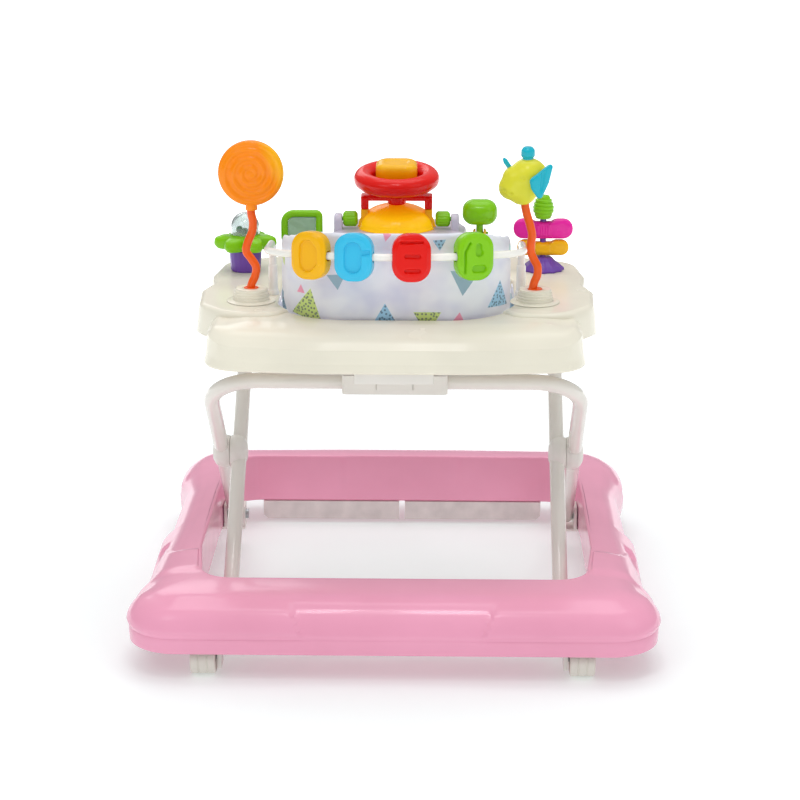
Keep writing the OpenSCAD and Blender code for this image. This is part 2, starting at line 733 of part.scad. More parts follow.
// Draws an upright plate of the given outline and thickness, centred on the mirror
module upright(c, t) {
    translate([mirror_at[0], mirror_at[1] + t / 2, mirror_z]) rotate([90, 0, 0])
        linear_extrude(t) polygon(outline(c));
}
module mirror_stand() {
    color("yellowgreen") translate([mirror_at[0], mirror_at[1], 0]) {
        translate([0, 0, deck_top]) cylinder(r = 15, h = 5, $fn = 48);
        translate([0, 0, deck_top + 4]) cylinder(r = 8, h = mirror_foot - deck_top - 4.5, $fn = 48);
        translate([0, 0, mirror_foot - 2]) cylinder(r = 3, h = 7, $fn = 32);
    }
}
module mirror_frame() {
    color("yellowgreen") difference() {
        upright(mirror_shape, 11);
        upright(inset(mirror_shape, mirror_border), 14);
        translate([mirror_at[0], mirror_at[1], mirror_foot - 1]) cylinder(r = 3 + run, h = 6.5,
            $fn = 32);
    }
}
module mirror_pane() {
    color("lightgray", 0.6) upright(inset(mirror_shape, mirror_border + 0.1), 3);
}
module gear_boot() {
    color("gold") translate([gear_at[0], gear_at[1], 0]) difference() {
        union() {
            translate([0, 0, deck_top]) cylinder(r = 15, h = 30, $fn = 64);
            translate([0, 0, deck_top + 29]) cylinder(r = 12, h = gear_pivot_z - deck_top - 23,
                $fn = 64);
        }
        box(-5, 5, -20, 20, gear_pivot_z - 9, gear_pivot_z + 10);
        translate([0, 0, gear_pivot_z]) rod_x(2.5 + run, -20, 20);
    }
}
module gear_lever() {
    color("yellowgreen") translate([gear_at[0], gear_at[1], gear_pivot_z]) {
        rod_x(2.5, -11, 11);
        rod_x(4.5, -4.6, 4.6);
        box(-4.6, 4.6, -4, 4, 0, 18);
        hull() for (x = [-10, 10], y = [-6, 6], z = [28, 32])
            translate([x, y, z]) sphere(r = 12.5, $fn = 24);
    }
}

base_shell();
front_pivot_brackets();
front_pivot_pins();
slide_channels();
brake_strips();
rear_wheel_mounts();
rear_axles();
caster_sockets();
rear_wheel_left();
rear_wheel_right();
caster_left();
caster_right();
front_wheel_left();
front_wheel_right();
outer_tube();
outer_hub_covers();
cross_pins();
inner_tube();
inner_hub_covers();
slide_shoes();
height_slider();
height_latch();
tray_shell();
height_rack();
front_bar_clamps();
stalk_sockets();
seat_clips();
play_bar();
bead_yellow();
bead_cyan();
bead_red();
bead_green();
backrest_pad();
seat_sling();
stalk_left();
lollipop();
stalk_right();
giraffe_head();
giraffe_ears();
rattle_pot();
rattle_collar();
rattle_dome();
rattle_beads();
butterfly_base();
butterfly_lower_wings();
butterfly_wings();
butterfly_head();
toy_panel();
battery_door();
batteries();
panel_dome();
panel_yoke();
steering_wheel();
horn_button();
panel_rollers();
mirror_stand();
mirror_frame();
mirror_pane();
gear_boot();
gear_lever();
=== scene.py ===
import math

import bmesh
import bpy
from mathutils import Matrix, Vector, bvhtree, kdtree


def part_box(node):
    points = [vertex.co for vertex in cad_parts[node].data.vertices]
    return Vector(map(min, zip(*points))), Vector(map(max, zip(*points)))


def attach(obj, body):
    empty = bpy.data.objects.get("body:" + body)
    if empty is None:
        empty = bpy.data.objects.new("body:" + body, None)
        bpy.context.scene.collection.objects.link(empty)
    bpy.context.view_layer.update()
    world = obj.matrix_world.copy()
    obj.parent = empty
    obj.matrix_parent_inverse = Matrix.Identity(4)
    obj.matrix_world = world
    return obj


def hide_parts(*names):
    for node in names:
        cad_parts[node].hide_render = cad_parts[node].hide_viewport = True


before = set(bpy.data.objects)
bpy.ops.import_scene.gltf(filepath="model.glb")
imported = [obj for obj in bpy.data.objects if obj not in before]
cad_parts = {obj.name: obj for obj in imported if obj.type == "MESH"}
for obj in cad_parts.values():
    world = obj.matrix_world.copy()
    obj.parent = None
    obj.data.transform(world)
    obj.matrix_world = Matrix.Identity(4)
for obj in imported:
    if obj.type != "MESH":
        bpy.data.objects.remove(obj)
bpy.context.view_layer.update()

# Shapes are worked out in millimetres, in the frame's axes, and turned into metres when a
# mesh is made. The child faces +Y, so the camera looks at the walker's rear.
MM = 0.001
scene = bpy.context.scene


# ---- Numbers and outlines ---------------------------------------------------------------
def clamp(x, low=0.0, high=1.0):
    return max(low, min(high, x))


def smooth(a, b, x):
    """0 before a, 1 after b, and a smooth step between them. a may be larger than b."""
    t = clamp((x - a) / (b - a))
    return t * t * (3 - 2 * t)


def lerp(a, b, t):
    return a + (b - a) * t


def corner_arc(a, b, c, steps):
    """Arc that rounds corner b = (x, y, radius) between its neighbours."""
    a2, b2, c2 = (Vector(p[:2]) for p in (a, b, c))
    u, v = (a2 - b2).normalized(), (c2 - b2).normalized()
    half = math.acos(clamp(u.dot(v), -1, 1)) / 2
    if b[2] <= 0 or half > 1.56:
        return [b2]
    centre = b2 + (u + v).normalized() * b[2] / math.sin(half)
    start, end = b2 + u * b[2] / math.tan(half) - centre, b2 + v * b[2] / math.tan(half) - centre
    first = math.atan2(start.y, start.x)
    turn = math.atan2(start.x * end.y - start.y * end.x, start.dot(end))
    angles = (first + turn * i / steps for i in range(steps + 1))
    return [centre + b[2] * Vector((math.cos(t), math.sin(t))) for t in angles]


def outline(corners, steps=10):
    """Closed line through corners (x, y, radius)."""
    k = len(corners)
    arcs = (corner_arc(corners[i - 1], corners[i], corners[(i + 1) % k], steps) for i in range(k))
    return [p for arc in arcs for p in arc]


def bent_line(corners, steps=6):
    """Open line through corners (x, y, radius); the first and last are its ends."""
    points = [Vector(corners[0][:2])]
    for a, b, c in zip(corners, corners[1:], corners[2:]):
        points += corner_arc(a, b, c, steps)
    return points + [Vector(corners[-1][:2])]


def rounded(corners, steps):
    """bent_line as plain pairs, for a profile (r, z) or a section (distance, z)."""
    return [(v.x, v.y) for v in bent_line(corners, steps)]


def round_box(w, h, r, steps=10):
    """Closed rectangle of half width w and half height h, with corners of radius r."""
    return outline([(w, -h, r), (w, h, r), (-w, h, r), (-w, -h, r)], steps)


def quarter(steps, first=1):
    """Angles that divide a right angle into equal steps."""
    return [math.pi / 2 * k / steps for k in range(first, steps + 1)]


def inset(corners, d):
    """Corners of the same outline moved inwards by d; they run anticlockwise."""
    k, out = len(corners), []
    for i in range(k):
        before, here, after = (Vector(corners[j][:2]) for j in (i - 1, i, (i + 1) % k))
        e, f = (here - before).normalized(), (after - here).normalized()
        n, m = Vector((-e.y, e.x)), Vector((-f.y, f.x))
        p = here + d * (n + m) / (1 + n.dot(m))
        bend = math.copysign(1, e.x * f.y - e.y * f.x)
        out.append((p.x, p.y, max(1, corners[i][2] - d * bend)))
    return out


def both_halves(half):
    """Corners of the right half, then of its mirror image."""
    return half + [(-x, y, r) for x, y, r in reversed(half)]


def resample(points, count, closed=True):
    """The same line as count points, evenly spaced along it."""
    line = points + points[:1] if closed else points
    lengths = [0.0]
    for a, b in zip(line, line[1:]):
        lengths.append(lengths[-1] + (b - a).length)
    step = lengths[-1] / (count if closed else count - 1)
    out, i = [], 0
    for n in range(count):
        at = min(n * step, lengths[-1])
        while i < len(line) - 2 and lengths[i + 1] < at:
            i += 1
        span = lengths[i + 1] - lengths[i]
        out.append(line[i].lerp(line[i + 1], (at - lengths[i]) / span if span else 0))
    return out


def normals_in(points):
    """Inward unit normals of a closed anticlockwise line."""
    n = len(points)
    out = []
    for i in range(n):
        d = (points[(i + 1) % n] - points[i - 1]).normalized()
        out.append(Vector((-d.y, d.x)))
    return out


def nearest(point, line):
    """The closest point to point on a closed line."""
    best = None
    for a, b in zip(line, line[1:] + line[:1]):
        d = b - a
        t = clamp((point - a).dot(d) / max(d.length_squared, 1e-9))
        q = a + d * t
        gap = (q - point).length_squared
        if best is None or gap < best[0]:
            best = (gap, q)
    return best[1]


def crossing(point, direction, line):
    """How far along direction from point a closed line is crossed, nearest to point."""
    best = 1e9
    side = Vector((-direction.y, direction.x))
    for a, b in zip(line, line[1:] + line[:1]):
        sa, sb = (a - point).dot(side), (b - point).dot(side)
        if (sa <= 0) != (sb <= 0):
            t = (a + (b - a) * (sa / (sa - sb)) - point).dot(direction)
            if abs(t) < abs(best):
                best = t
    return best


def spline(points, steps):
    """Smooth line through points (Catmull-Rom)."""
    p = [Vector(q) for q in points]
    p = [p[0] * 2 - p[1]] + p + [p[-1] * 2 - p[-2]]
    out = []
    for a, b, c, d in zip(p, p[1:], p[2:], p[3:]):
        for i in range(steps):
            t = i / steps
            out.append(0.5 * (2 * b + (c - a) * t + (2 * a - 5 * b + 4 * c - d) * t * t
                              + (3 * b - a - 3 * c + d) * t ** 3))
    return out + [p[-2]]


# ---- The frame's boxes --------------------------------------------------------------------
def box_of(node):
    """Lowest and highest corner of a CAD node at rest, in millimetres."""
    low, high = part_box(node)
    return low / MM, high / MM


def heights_of(node):
    """Lowest and highest z of a CAD node at rest, in millimetres."""
    low, high = box_of(node)
    return low.z, high.z


# ---- Meshes -----------------------------------------------------------------------------
def mesh_object(name, verts, faces, weld=True):
    mesh = bpy.data.meshes.new(name)
    mesh.from_pydata([Vector(v) * MM for v in verts], [], faces)
    obj = bpy.data.objects.new(name, mesh)
    scene.collection.objects.link(obj)
    if weld:
        tidy(obj)
    return obj


def tidy(obj):
    """Welds doubled vertices, drops empty faces and turns every face outwards."""
    gap = 0.000002
    bm = bmesh.new()
    bm.from_mesh(obj.data)
    bmesh.ops.remove_doubles(bm, verts=bm.verts, dist=gap)
    bmesh.ops.dissolve_degenerate(bm, edges=bm.edges, dist=gap / 2)
    bmesh.ops.recalc_face_normals(bm, faces=bm.faces)
    bm.to_mesh(obj.data)
    bm.free()
    obj.data.update()


def rings(rows, ends=True, loop=False):
    """Vertices and faces of a skin over closed rings of equally many points."""
    n, m = len(rows), len(rows[0])
    verts = [p for row in rows for p in row]
    faces = []
    for i in range(n if loop else n - 1):
        for j in range(m):
            a, b = i * m, (i + 1) % n * m
            faces.append((a + j, a + (j + 1) % m, b + (j + 1) % m, b + j))
    if ends and not loop:
        faces += [tuple(range(m))[::-1], tuple(range((n - 1) * m, n * m))]
    return verts, faces


def lathe(profile, count=72, shape=None):
    """Solid turned about Z from (r, z) points that start and end on the axis."""
    rows = []
    for r, z in profile:
        ring = []
        for i in range(count):
            t = math.tau * i / count
            k = shape(t, r, z) if shape else r
            ring.append(Vector((k * math.cos(t), k * math.sin(t), z)))
        rows.append(ring)
    return rings(rows)


def hoop(profile, count):
    """Ring turned about Z from (r, z) points that end where they start, off the axis."""
    rows = []
    for i in range(count):
        t = math.tau * i / count
        rows.append([Vector((r * math.cos(t), r * math.sin(t), z)) for r, z in profile])
    return rings(rows, loop=True)


def ring_collar(outer, inner, z0, z1):
    """Short sleeve about Z with rounded outer rims."""
    return hoop(rounded([(inner, z0, 0), (outer, z0, 1.2), (outer, z1, 1.2), (inner, z1, 0),
                         (inner, z0, 0)], 4), 56)


def rod(radius, z0, z1, count):
    """Plain cylinder about Z."""
    return lathe([(0, z0), (radius, z0), (radius, z1), (0, z1)], count)


def ball(radius, count, swell=0.0):
    """Ball about the origin, or a bead whose outline swells by that share."""
    steps = 12
    turns = [math.pi * k / steps for k in range(1, steps)]
    arc = [(radius * math.sin(t) * (1 + swell * math.sin(3 * t)), -radius * math.cos(t))
           for t in turns]
    return lathe([(0, -radius)] + arc + [(0, radius)], count)


def sweep(points, radius, count=24, squash=1.0):
    """Tube with domed ends along 3-D points; squash is its height over its width."""
    p = [Vector(q) for q in points]
    tangent = (p[1] - p[0]).normalized()
    side = tangent.cross(Vector((0, 1, 0.01))).normalized()
    turns = [math.tau * k / count for k in range(count)]
    rows = []
    for i, q in enumerate(p):
        ahead = (p[min(i + 1, len(p) - 1)] - p[max(i - 1, 0)]).normalized()
        side = (side - ahead * side.dot(ahead)).normalized()
        up = ahead.cross(side)
        rows.append([q + radius * (math.cos(t) * side + squash * math.sin(t) * up)
                     for t in turns])
    first, last = (p[0] - p[1]).normalized(), (p[-1] - p[-2]).normalized()
    for place, ring, away in ((0, rows[0], first), (len(rows), rows[-1], last)):
        middle = sum(ring, Vector()) / count
        r = (ring[0] - middle).length
        for s in (0.35, 0.65, 0.88, 1.0):
            shrink = math.sqrt(max(0, 1 - s * s))
            cap = [middle + (v - middle) * shrink + away * r * s * 0.6 for v in ring]
            rows.insert(0, cap) if place == 0 else rows.append(cap)
    return rings(rows)


def cord_loop(line, radius, count=14):
    """Round binding along a closed 3-D line."""
    turns = [math.tau * k / count for k in range(count)]
    rows = []
    for i, p in enumerate(line):
        ahead = (line[(i + 1) % len(line)] - line[i - 1]).normalized()
        side = ahead.cross(Vector((0, 0, 1))).normalized()
        up = side.cross(ahead)
        rows.append([p + radius * (math.cos(t) * side + math.sin(t) * up) for t in turns])
    return rings(rows, loop=True)


def pillow(edge, half, round_r, crown=0.0, relief=None, count=14):
    """Plate over a star-shaped closed outline in XY, about z = 0, with rounded rims.

    half is half its thickness, crown lifts its middle, and relief(x, y) is added to both
    faces where it isn't None."""
    centre = sum(edge, Vector((0, 0))) / len(edge)
    reach = min((p - centre).length for p in edge)
    levels = [(1 - (1 - math.cos(t)) * round_r / reach,
               half - round_r + math.sin(t) * round_r) for t in quarter(6, 0)]
    start = 1 - round_r / reach
    levels += [(start * (1 - i / count), half) for i in range(1, count + 1)]
    out = []
    for side in (-1, 1):
        part = []
        for k, z in levels:
            ring = []
            for p in edge:
                q = centre + (p - centre) * k
                h = z + crown * (1 - k * k)
                if relief:
                    h += relief(q.x, q.y) * smooth(1, start - 0.02, k)
                ring.append(Vector((q.x, q.y, side * h)))
            part.append(ring)
        out.append(part)
    return rings(list(reversed(out[0])) + out[1])


def join_parts(parts):
    """One vertex and face list out of several."""
    verts, faces = [], []
    for v, f in parts:
        faces += [tuple(i + len(verts) for i in face) for face in f]
        verts += v
    return verts, faces


def moved(part, matrix):
    """A part, as vertices and faces, put through a matrix."""
    return [matrix @ Vector(v) for v in part[0]], part[1]


def at(x, y, z):
    return Matrix.Translation((x, y, z))


def turn(degrees, axis):
    return Matrix.Rotation(math.radians(degrees), 4, axis)


def mirrored(part):
    """A part on the other side of the plane x = 0."""
    return [Vector((-v[0], v[1], v[2])) for v in part[0]], [f[::-1] for f in part[1]]


def brick(x0, x1, y0, y1, z0, z1, soft=1.0, steps=3):
    """Block with rounded upright edges and rims."""
    shape = outline([(x1, y0, soft * 1.6), (x1, y1, soft * 1.6), (x0, y1, soft * 1.6),
                     (x0, y0, soft * 1.6)], steps)
    centre = Vector(((x0 + x1) / 2, (y0 + y1) / 2))
    rows = []
    for k in range(steps + 1):
        t = math.pi / 2 * k / steps
        rows.append((soft * (1 - math.sin(t)), z0 + soft * (1 - math.cos(t))))
    rows += [(d, z0 + z1 - z) for d, z in reversed(rows)]
    half = Vector(((x1 - x0) / 2, (y1 - y0) / 2))
    out = []
    for d, z in rows:
        ring = []
        for p in shape:
            q = p - centre
            ring.append(Vector((centre.x + q.x * (1 - d / half.x),
                                centre.y + q.y * (1 - d / half.y), z)))
        out.append(ring)
    return rings(out)


def apply_modifiers(obj):
    """Makes the mesh what its modifiers say, and clears them."""
    bpy.context.view_layer.update()
    evaluated = obj.evaluated_get(bpy.context.evaluated_depsgraph_get())
    mesh = bpy.data.meshes.new_from_object(evaluated)
    obj.modifiers.clear()
    old, obj.data = obj.data, mesh
    bpy.data.meshes.remove(old)


def combine(obj, part, how="DIFFERENCE", solver="EXACT"):
    """Takes a part, as vertices and faces, away from obj, or adds it with UNION."""
    other = mesh_object("cutter", *part)
    cut = obj.modifiers.new("cut", "BOOLEAN")
    cut.object, cut.operation, cut.solver = other, how, solver
    apply_modifiers(obj)
    bpy.data.objects.remove(other)


# ---- Materials --------------------------------------------------------------------------
def srgb(r, g, b):
    """Linear colour from sRGB values of 0 to 255."""
    def linear(c):
        c /= 255
        return c / 12.92 if c <= 0.04045 else ((c + 0.055) / 1.055) ** 2.4
    return (linear(r), linear(g), linear(b), 1.0)


def shade(colour, factor):
    """A lighter or darker colour."""
    return tuple(min(1.0, c * factor) for c in colour[:3]) + (1.0,)


class Shader:
    """A material's node tree, with a short way to add and link nodes."""

    def __init__(self, name):
        self.material = bpy.data.materials.new(name)
        self.material.use_nodes = True
        self.tree = self.material.node_tree
        self.main = self.tree.nodes["Principled BSDF"]
        self.place = self.add("TexCoord").outputs["Object"]

    def set(self, node, **inputs):
        for key, value in inputs.items():
            socket = node.inputs[int(key[1:]) if key[1:].isdigit() else key.replace("_", " ")]
            if isinstance(value, bpy.types.NodeSocket):
                self.tree.links.new(value, socket)
            else:
                socket.default_value = value
        return node

    def add(self, kind, options=None, **inputs):
        node = self.tree.nodes.new("ShaderNode" + kind)
        for key, value in (options or {}).items():
            setattr(node, key, value)
        return self.set(node, **inputs)

    def noise(self, scale, detail=2.0, place=None):
        return self.add("TexNoise", Vector=place or self.place, Scale=scale,
                        Detail=detail).outputs["Fac"]

    def math(self, how, a, b=0.0):
        return self.add("Math", {"operation": how}, _0=a, _1=b).outputs[0]

    def vector(self, how, a, b=(0, 0, 0)):
        return self.add("VectorMath", {"operation": how}, _0=a, _1=b)

    def span(self, value, low, high, start=0.3, end=0.7):
        """value from start to end, as a number from low to high."""
        return self.add("MapRange", Value=value, From_Min=start, From_Max=end, To_Min=low,
                        To_Max=high).outputs[0]

    def mix(self, factor, a, b):
        node = self.add("Mix", {"data_type": "RGBA"})
        return self.set(node, _0=factor, _6=a, _7=b).outputs[2]

    def bump(self, height, distance, strength=1.0, normal=None):
        node = self.add("Bump", Height=height, Distance=distance, Strength=strength)
        if normal is not None:
            self.set(node, Normal=normal)
        return node.outputs[0]


def plastic(name, colour, rough=0.24, coat=0.1, grain=0.00002, soft_edge=0.0005, clear=0.0):
    """Moulded plastic: slow colour drift, orange peel, fine scuffs and softened edges."""
    m = Shader(name)
    drift = m.noise(9, 3)
    speckle = m.noise(1400, 1)
    body = m.mix(m.span(drift, 0, 1), shade(colour, 0.95), shade(colour, 1.03))
    body = m.mix(m.span(speckle, 0, 0.07, 0.5, 0.75), body, shade(colour, 0.86))
    rub = m.span(m.noise(24, 3), rough * 0.9, rough * 1.15)
    edge = m.add("Bevel", {"samples": 4}, Radius=soft_edge).outputs[0]
    wave = m.bump(m.noise(38, 2), 0.0006, 0.16, edge)
    peel = m.bump(m.noise(520, 2), grain, 0.6, wave)
    m.set(m.main, Base_Color=body, Roughness=rub, Normal=peel)
    m.set(m.main, Coat_Weight=coat, Coat_Roughness=0.08, IOR=1.46, Specular_IOR_Level=0.3)
    if clear:
        m.main.inputs["Transmission Weight"].default_value = clear
    return m.material


def metal(name, colour, rough=0.35):
    """Bright steel with fine drawn lines."""
    m = Shader(name)
    lines = m.vector("MULTIPLY", m.place, (30, 900, 900)).outputs[0]
    streak = m.noise(1, 3, lines)
    body = m.mix(m.span(streak, 0, 1), shade(colour, 0.8), shade(colour, 1.1))
    m.set(m.main, Base_Color=body, Roughness=m.span(streak, rough * 0.8, rough * 1.3),
          Normal=m.bump(streak, 0.00001, 0.5))
    m.set(m.main, Metallic=1.0)
    return m.material


def rubber(name, colour):
    """Matt rubber with a moulded grain and dusty patches."""
    m = Shader(name)
    dust = m.noise(45, 5)
    grain = m.noise(1500, 2)
    body = m.mix(m.span(dust, 0, 1), shade(colour, 0.86), shade(colour, 1.05))
    m.set(m.main, Base_Color=body, Roughness=m.span(grain, 0.55, 0.8),
          Normal=m.bump(grain, 0.00008, 0.7))
    return m.material


PRINT = {"ground": srgb(238, 240, 248), "lavender": srgb(214, 216, 238),
         "slate": srgb(150, 178, 196), "sky": srgb(158, 204, 232), "lime": srgb(206, 226, 132),
         "ink": srgb(62, 84, 112), "deep": srgb(112, 156, 184), "pink": srgb(242, 158, 186),
         "mint": srgb(176, 222, 220)}
MOTIFS = [  # (along, up, turn, inner radius, tone, speckled) of the shapes on the backrest
    (0.080, 0.447, 0.90, 0.0098, "slate", False), (0.128, 0.419, 0.74, 0.0105, "sky", True),
    (-0.162, 0.409, 0.77, 0.0115, "deep", True), (-0.068, 0.447, 0.60, 0.0062, "slate", False),
    (-0.104, 0.409, 0.72, 0.0125, "lime", True), (-0.012, 0.400, 0.75, 0.0095, "sky", True),
    (0.038, 0.399, 0.25, 0.0095, "lime", True), (0.052, 0.491, 0.26, 0.0044, "sky", True),
    (-0.113, 0.430, 0.08, 0.0034, "pink", False), (0.074, 0.400, 0.40, 0.0040, "pink", False),
    (-0.010, 0.499, 0.55, 0.0030, "pink", False), (-0.150, 0.462, 0.33, 0.0050, "lime", False),
    (0.155, 0.470, 0.12, 0.0050, "mint", False)]


def fabric(name, scattered=True):
    """White padded cloth printed with triangles, some of them speckled.

    The pattern lies on the attribute "cloth", each piece's own flat coordinates in metres. It
    is scattered, or takes the backrest's own shapes."""
    m = Shader(name)
    flat = m.add("Attribute", {"attribute_name": "cloth"}).outputs["Vector"]

    def cells(size, offset):
        """Cell-local coordinates, and three random numbers, on a jittered grid of that size."""
        p = m.vector("MULTIPLY_ADD", flat, (1 / size,) * 3)
        m.set(p, _2=(offset, offset * 0.7, 0))
        spot = m.add("TexVoronoi", {"voronoi_dimensions": "2D"}, Vector=p.outputs[0], Scale=1.0,
                     Randomness=0.72)
        local = m.vector("SUBTRACT", p.outputs[0], spot.outputs["Position"]).outputs[0]
        rand = m.add("SeparateColor", _0=spot.outputs["Color"]).outputs
        return local, rand

    def triangle(local, angle, size):
        """1 inside a triangle of that inner radius, turned by a share of a full turn."""
        if not isinstance(angle, float):
            local = m.add("VectorRotate", {"rotation_type": "Z_AXIS"}, Vector=local,
                          Angle=m.math("MULTIPLY", angle, math.tau)).outputs[0]
            angle = 0.0
        sides = []
        for third in (0, 1, 2):
            t = math.tau * (angle + third / 3)
            sides.append(m.vector("DOT_PRODUCT", local, (math.cos(t), math.sin(t), 0)
                                  ).outputs["Value"])
        far = m.math("MAXIMUM", m.math("MAXIMUM", sides[0], sides[1]), sides[2])
        return m.math("LESS_THAN", far, size)

    tiny = m.add("TexVoronoi", {"voronoi_dimensions": "2D"}, Scale=230, Randomness=0.9,
                 Vector=flat).outputs["Distance"]
    dots = m.math("LESS_THAN", tiny, 0.3)
    colour = m.mix(m.span(m.noise(22, 2, flat), 0, 0.75, 0.42, 0.66), PRINT["ground"],
                   PRINT["lavender"])
    if scattered:
        local, rand = cells(size=0.05, offset=3.3)
        big = triangle(local, rand[0], m.span(rand[1], 0.2, 0.34, 0, 1))
        hue = m.add("ValToRGB", _0=rand[2])
        ramp = hue.color_ramp
        ramp.interpolation = "CONSTANT"
        ramp.elements[0].color, ramp.elements[1].color = PRINT["slate"], PRINT["sky"]
        ramp.elements[1].position = 0.3
        for spot, tone in ((0.55, "lime"), (0.8, "mint")):
            ramp.elements.new(spot).color = PRINT[tone]
        colour = m.mix(big, colour, hue.outputs[0])
        dotted = m.math("MULTIPLY", m.math("GREATER_THAN", rand[2], 0.3), big)
        colour = m.mix(m.math("MULTIPLY", m.math("MULTIPLY", dots, dotted), 0.8), colour,
                       PRINT["ink"])
        local2, rand2 = cells(size=0.034, offset=9.1)
        small = triangle(local2, rand2[0], m.span(rand2[1], 0.04, 0.15, 0.45, 1))
        hue2 = m.mix(m.math("GREATER_THAN", rand2[2], 0.5), PRINT["pink"], PRINT["sky"])
        colour = m.mix(m.math("MULTIPLY", small, m.math("SUBTRACT", 1.0, big)), colour, hue2)
    else:
        for along, up, angle, size, tone, speckled in MOTIFS:
            local = m.vector("SUBTRACT", flat, (along, up, 0)).outputs[0]
            shape = triangle(local, angle, size)
            colour = m.mix(shape, colour, PRINT[tone])
            if speckled:
                colour = m.mix(m.math("MULTIPLY", m.math("MULTIPLY", dots, shape), 0.7), colour,
                               PRINT["ink"])
    warp = m.add("TexWave", {"bands_direction": "X"}, Vector=flat, Scale=620).outputs["Fac"]
    weft = m.add("TexWave", {"bands_direction": "Y"}, Vector=flat, Scale=620).outputs["Fac"]
    weave = m.math("MULTIPLY", warp, weft)
    colour = m.mix(m.math("MULTIPLY", weave, 0.08), colour, PRINT["slate"])
    crumple = m.bump(m.noise(26, 3), 0.004, 0.22)
    m.set(m.main, Base_Color=colour, Roughness=m.span(weave, 0.72, 0.9, 0, 1),
          Normal=m.bump(weave, 0.00018, 0.5, crumple))
    m.set(m.main, Sheen_Weight=0.25, Sheen_Roughness=0.5)
    return m.material


TONES = {
    "pink_plastic": plastic("pink_moulding", srgb(254, 171, 201), rough=0.2, coat=0.3),
    "white_plastic": plastic("white_moulding", srgb(238, 235, 228), rough=0.36, coat=0.15),
    "steel": metal("bright_steel", srgb(178, 180, 184)),
    "grip_rubber": rubber("brake_rubber", srgb(232, 222, 220)),
    "wheel_plastic": plastic("wheel_moulding", srgb(235, 230, 220), rough=0.34, coat=0.2),
    "white_paint": plastic("tube_paint", srgb(236, 232, 224), rough=0.2, coat=0.6, grain=0.00003),
    "ivory_plastic": plastic("ivory_moulding", srgb(240, 235, 218)),
    "white_gloss": plastic("bar_moulding", srgb(246, 244, 238), rough=0.18, coat=0.5),
    "yellow_plastic": plastic("yellow_moulding", srgb(250, 186, 0)),
    "cyan_plastic": plastic("cyan_moulding", srgb(58, 194, 236)),
    "red_plastic": plastic("red_moulding", srgb(232, 14, 2)),
    "lime_plastic": plastic("lime_moulding", srgb(132, 204, 10)),
    "printed_fabric": fabric("printed_cloth"),
    "stalk_orange": plastic("stalk_moulding", srgb(246, 94, 12), rough=0.3),
    "orange_plastic": plastic("orange_moulding", srgb(255, 150, 0)),
    "head_yellow": plastic("head_moulding", srgb(226, 222, 58)),
    "teal_plastic": plastic("teal_moulding", srgb(18, 180, 202)),
    "purple_plastic": plastic("purple_moulding", srgb(116, 74, 176)),
    "clear_plastic": plastic("clear_moulding", srgb(232, 240, 240),
                             rough=0.06, coat=0.3, clear=0.92),
    "green_plastic": plastic("green_moulding", srgb(20, 130, 60)),
    "lavender_plastic": plastic("lavender_moulding", srgb(150, 112, 202)),
    "magenta_plastic": plastic("magenta_moulding", srgb(238, 34, 164)),
    "panel_plastic": plastic("panel_moulding", srgb(206, 202, 220), rough=0.28, coat=0.3),
    "cell_metal": metal("cell_wrap", srgb(120, 124, 132), rough=0.4),
    "smoked_plastic": plastic("smoked_moulding", srgb(150, 182, 152),
                              rough=0.1, coat=0.3, clear=0.45),
}
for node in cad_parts.values():
    known = {s.material.name.split(".")[0] for s in node.material_slots if s.material}
    slot = next((s for s in TONES if s in known), None)
    if slot is None:
        raise ValueError(f"{node.name} carries {known}")
    for holder in node.material_slots:
        holder.material = TONES[slot]


def adopt(obj, body, slot, *replaced, sharp=40.0):
    """Gives a piece its shading, material, slot and body, and hides the CAD it stands for."""
    obj.data.shade_smooth()
    obj.data.set_sharp_from_angle(angle=math.radians(sharp))
    obj.data.materials.clear()
    obj.data.materials.append(TONES[slot])
    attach(obj, body)
    if replaced:
        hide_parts(*replaced)
    return obj


def piece(name, parts, body, slot, *replaced, sharp=40.0):
    """A piece made of one part, or of a list of parts."""
    parts = parts if isinstance(parts, list) else [parts]
    return adopt(mesh_object(name, *join_parts(parts)), body, slot, *replaced, sharp=sharp)


def turned(name, corners, place, body, slot, *nodes, shape=None, sharp=40, count=80):
    """Lathe piece from (r, z, corner radius) corners at an (x, y) place."""
    profile = rounded(corners, 5)
    part = moved(lathe(profile, count, shape), at(place[0], place[1], 0))
    return piece(name, part, body, slot, *nodes, sharp=sharp)


# ---- Light, floor and camera ------------------------------------------------------------
def area_light(name, place, target, size, power):
    """Rectangular light; place and target are in metres, like the camera's."""
    data = bpy.data.lights.new(name, "AREA")
    data.shape, data.size, data.size_y, data.energy = "RECTANGLE", size[0], size[1], power
    obj = bpy.data.objects.new(name, data)
    obj.location = place
    aim = Vector(target) - Vector(place)
    obj.rotation_euler = aim.to_track_quat("-Z", "Y").to_euler()
    scene.collection.objects.link(obj)


LIGHTS = [  # name, place, what it points at, width and height, power
    ("key_softbox", (-1.6, -2.2, 2.6), (0, 0, 0.25), (1.2, 0.9), 7),
    ("fill_softbox", (2.2, -1.4, 1.8), (0, 0, 0.25), (1.3, 1.3), 4),
    ("top_softbox", (0.2, 0.6, 3.0), (0, 0, 0.1), (2.6, 1.8), 24),
    ("back_softbox", (-1.0, 2.6, 2.0), (0, 0, 0.3), (1.6, 1.2), 9),
    # Two narrow lights whose reflections lie on the rear bumper
    ("left_window", (-0.2, -1.0, 2.1), (-0.08, -0.32, 0.07), (0.12, 0.4), 1.7),
    ("right_window", (0.07, -1.0, 2.1), (0.06, -0.32, 0.07), (0.19, 0.4), 2.7),
]


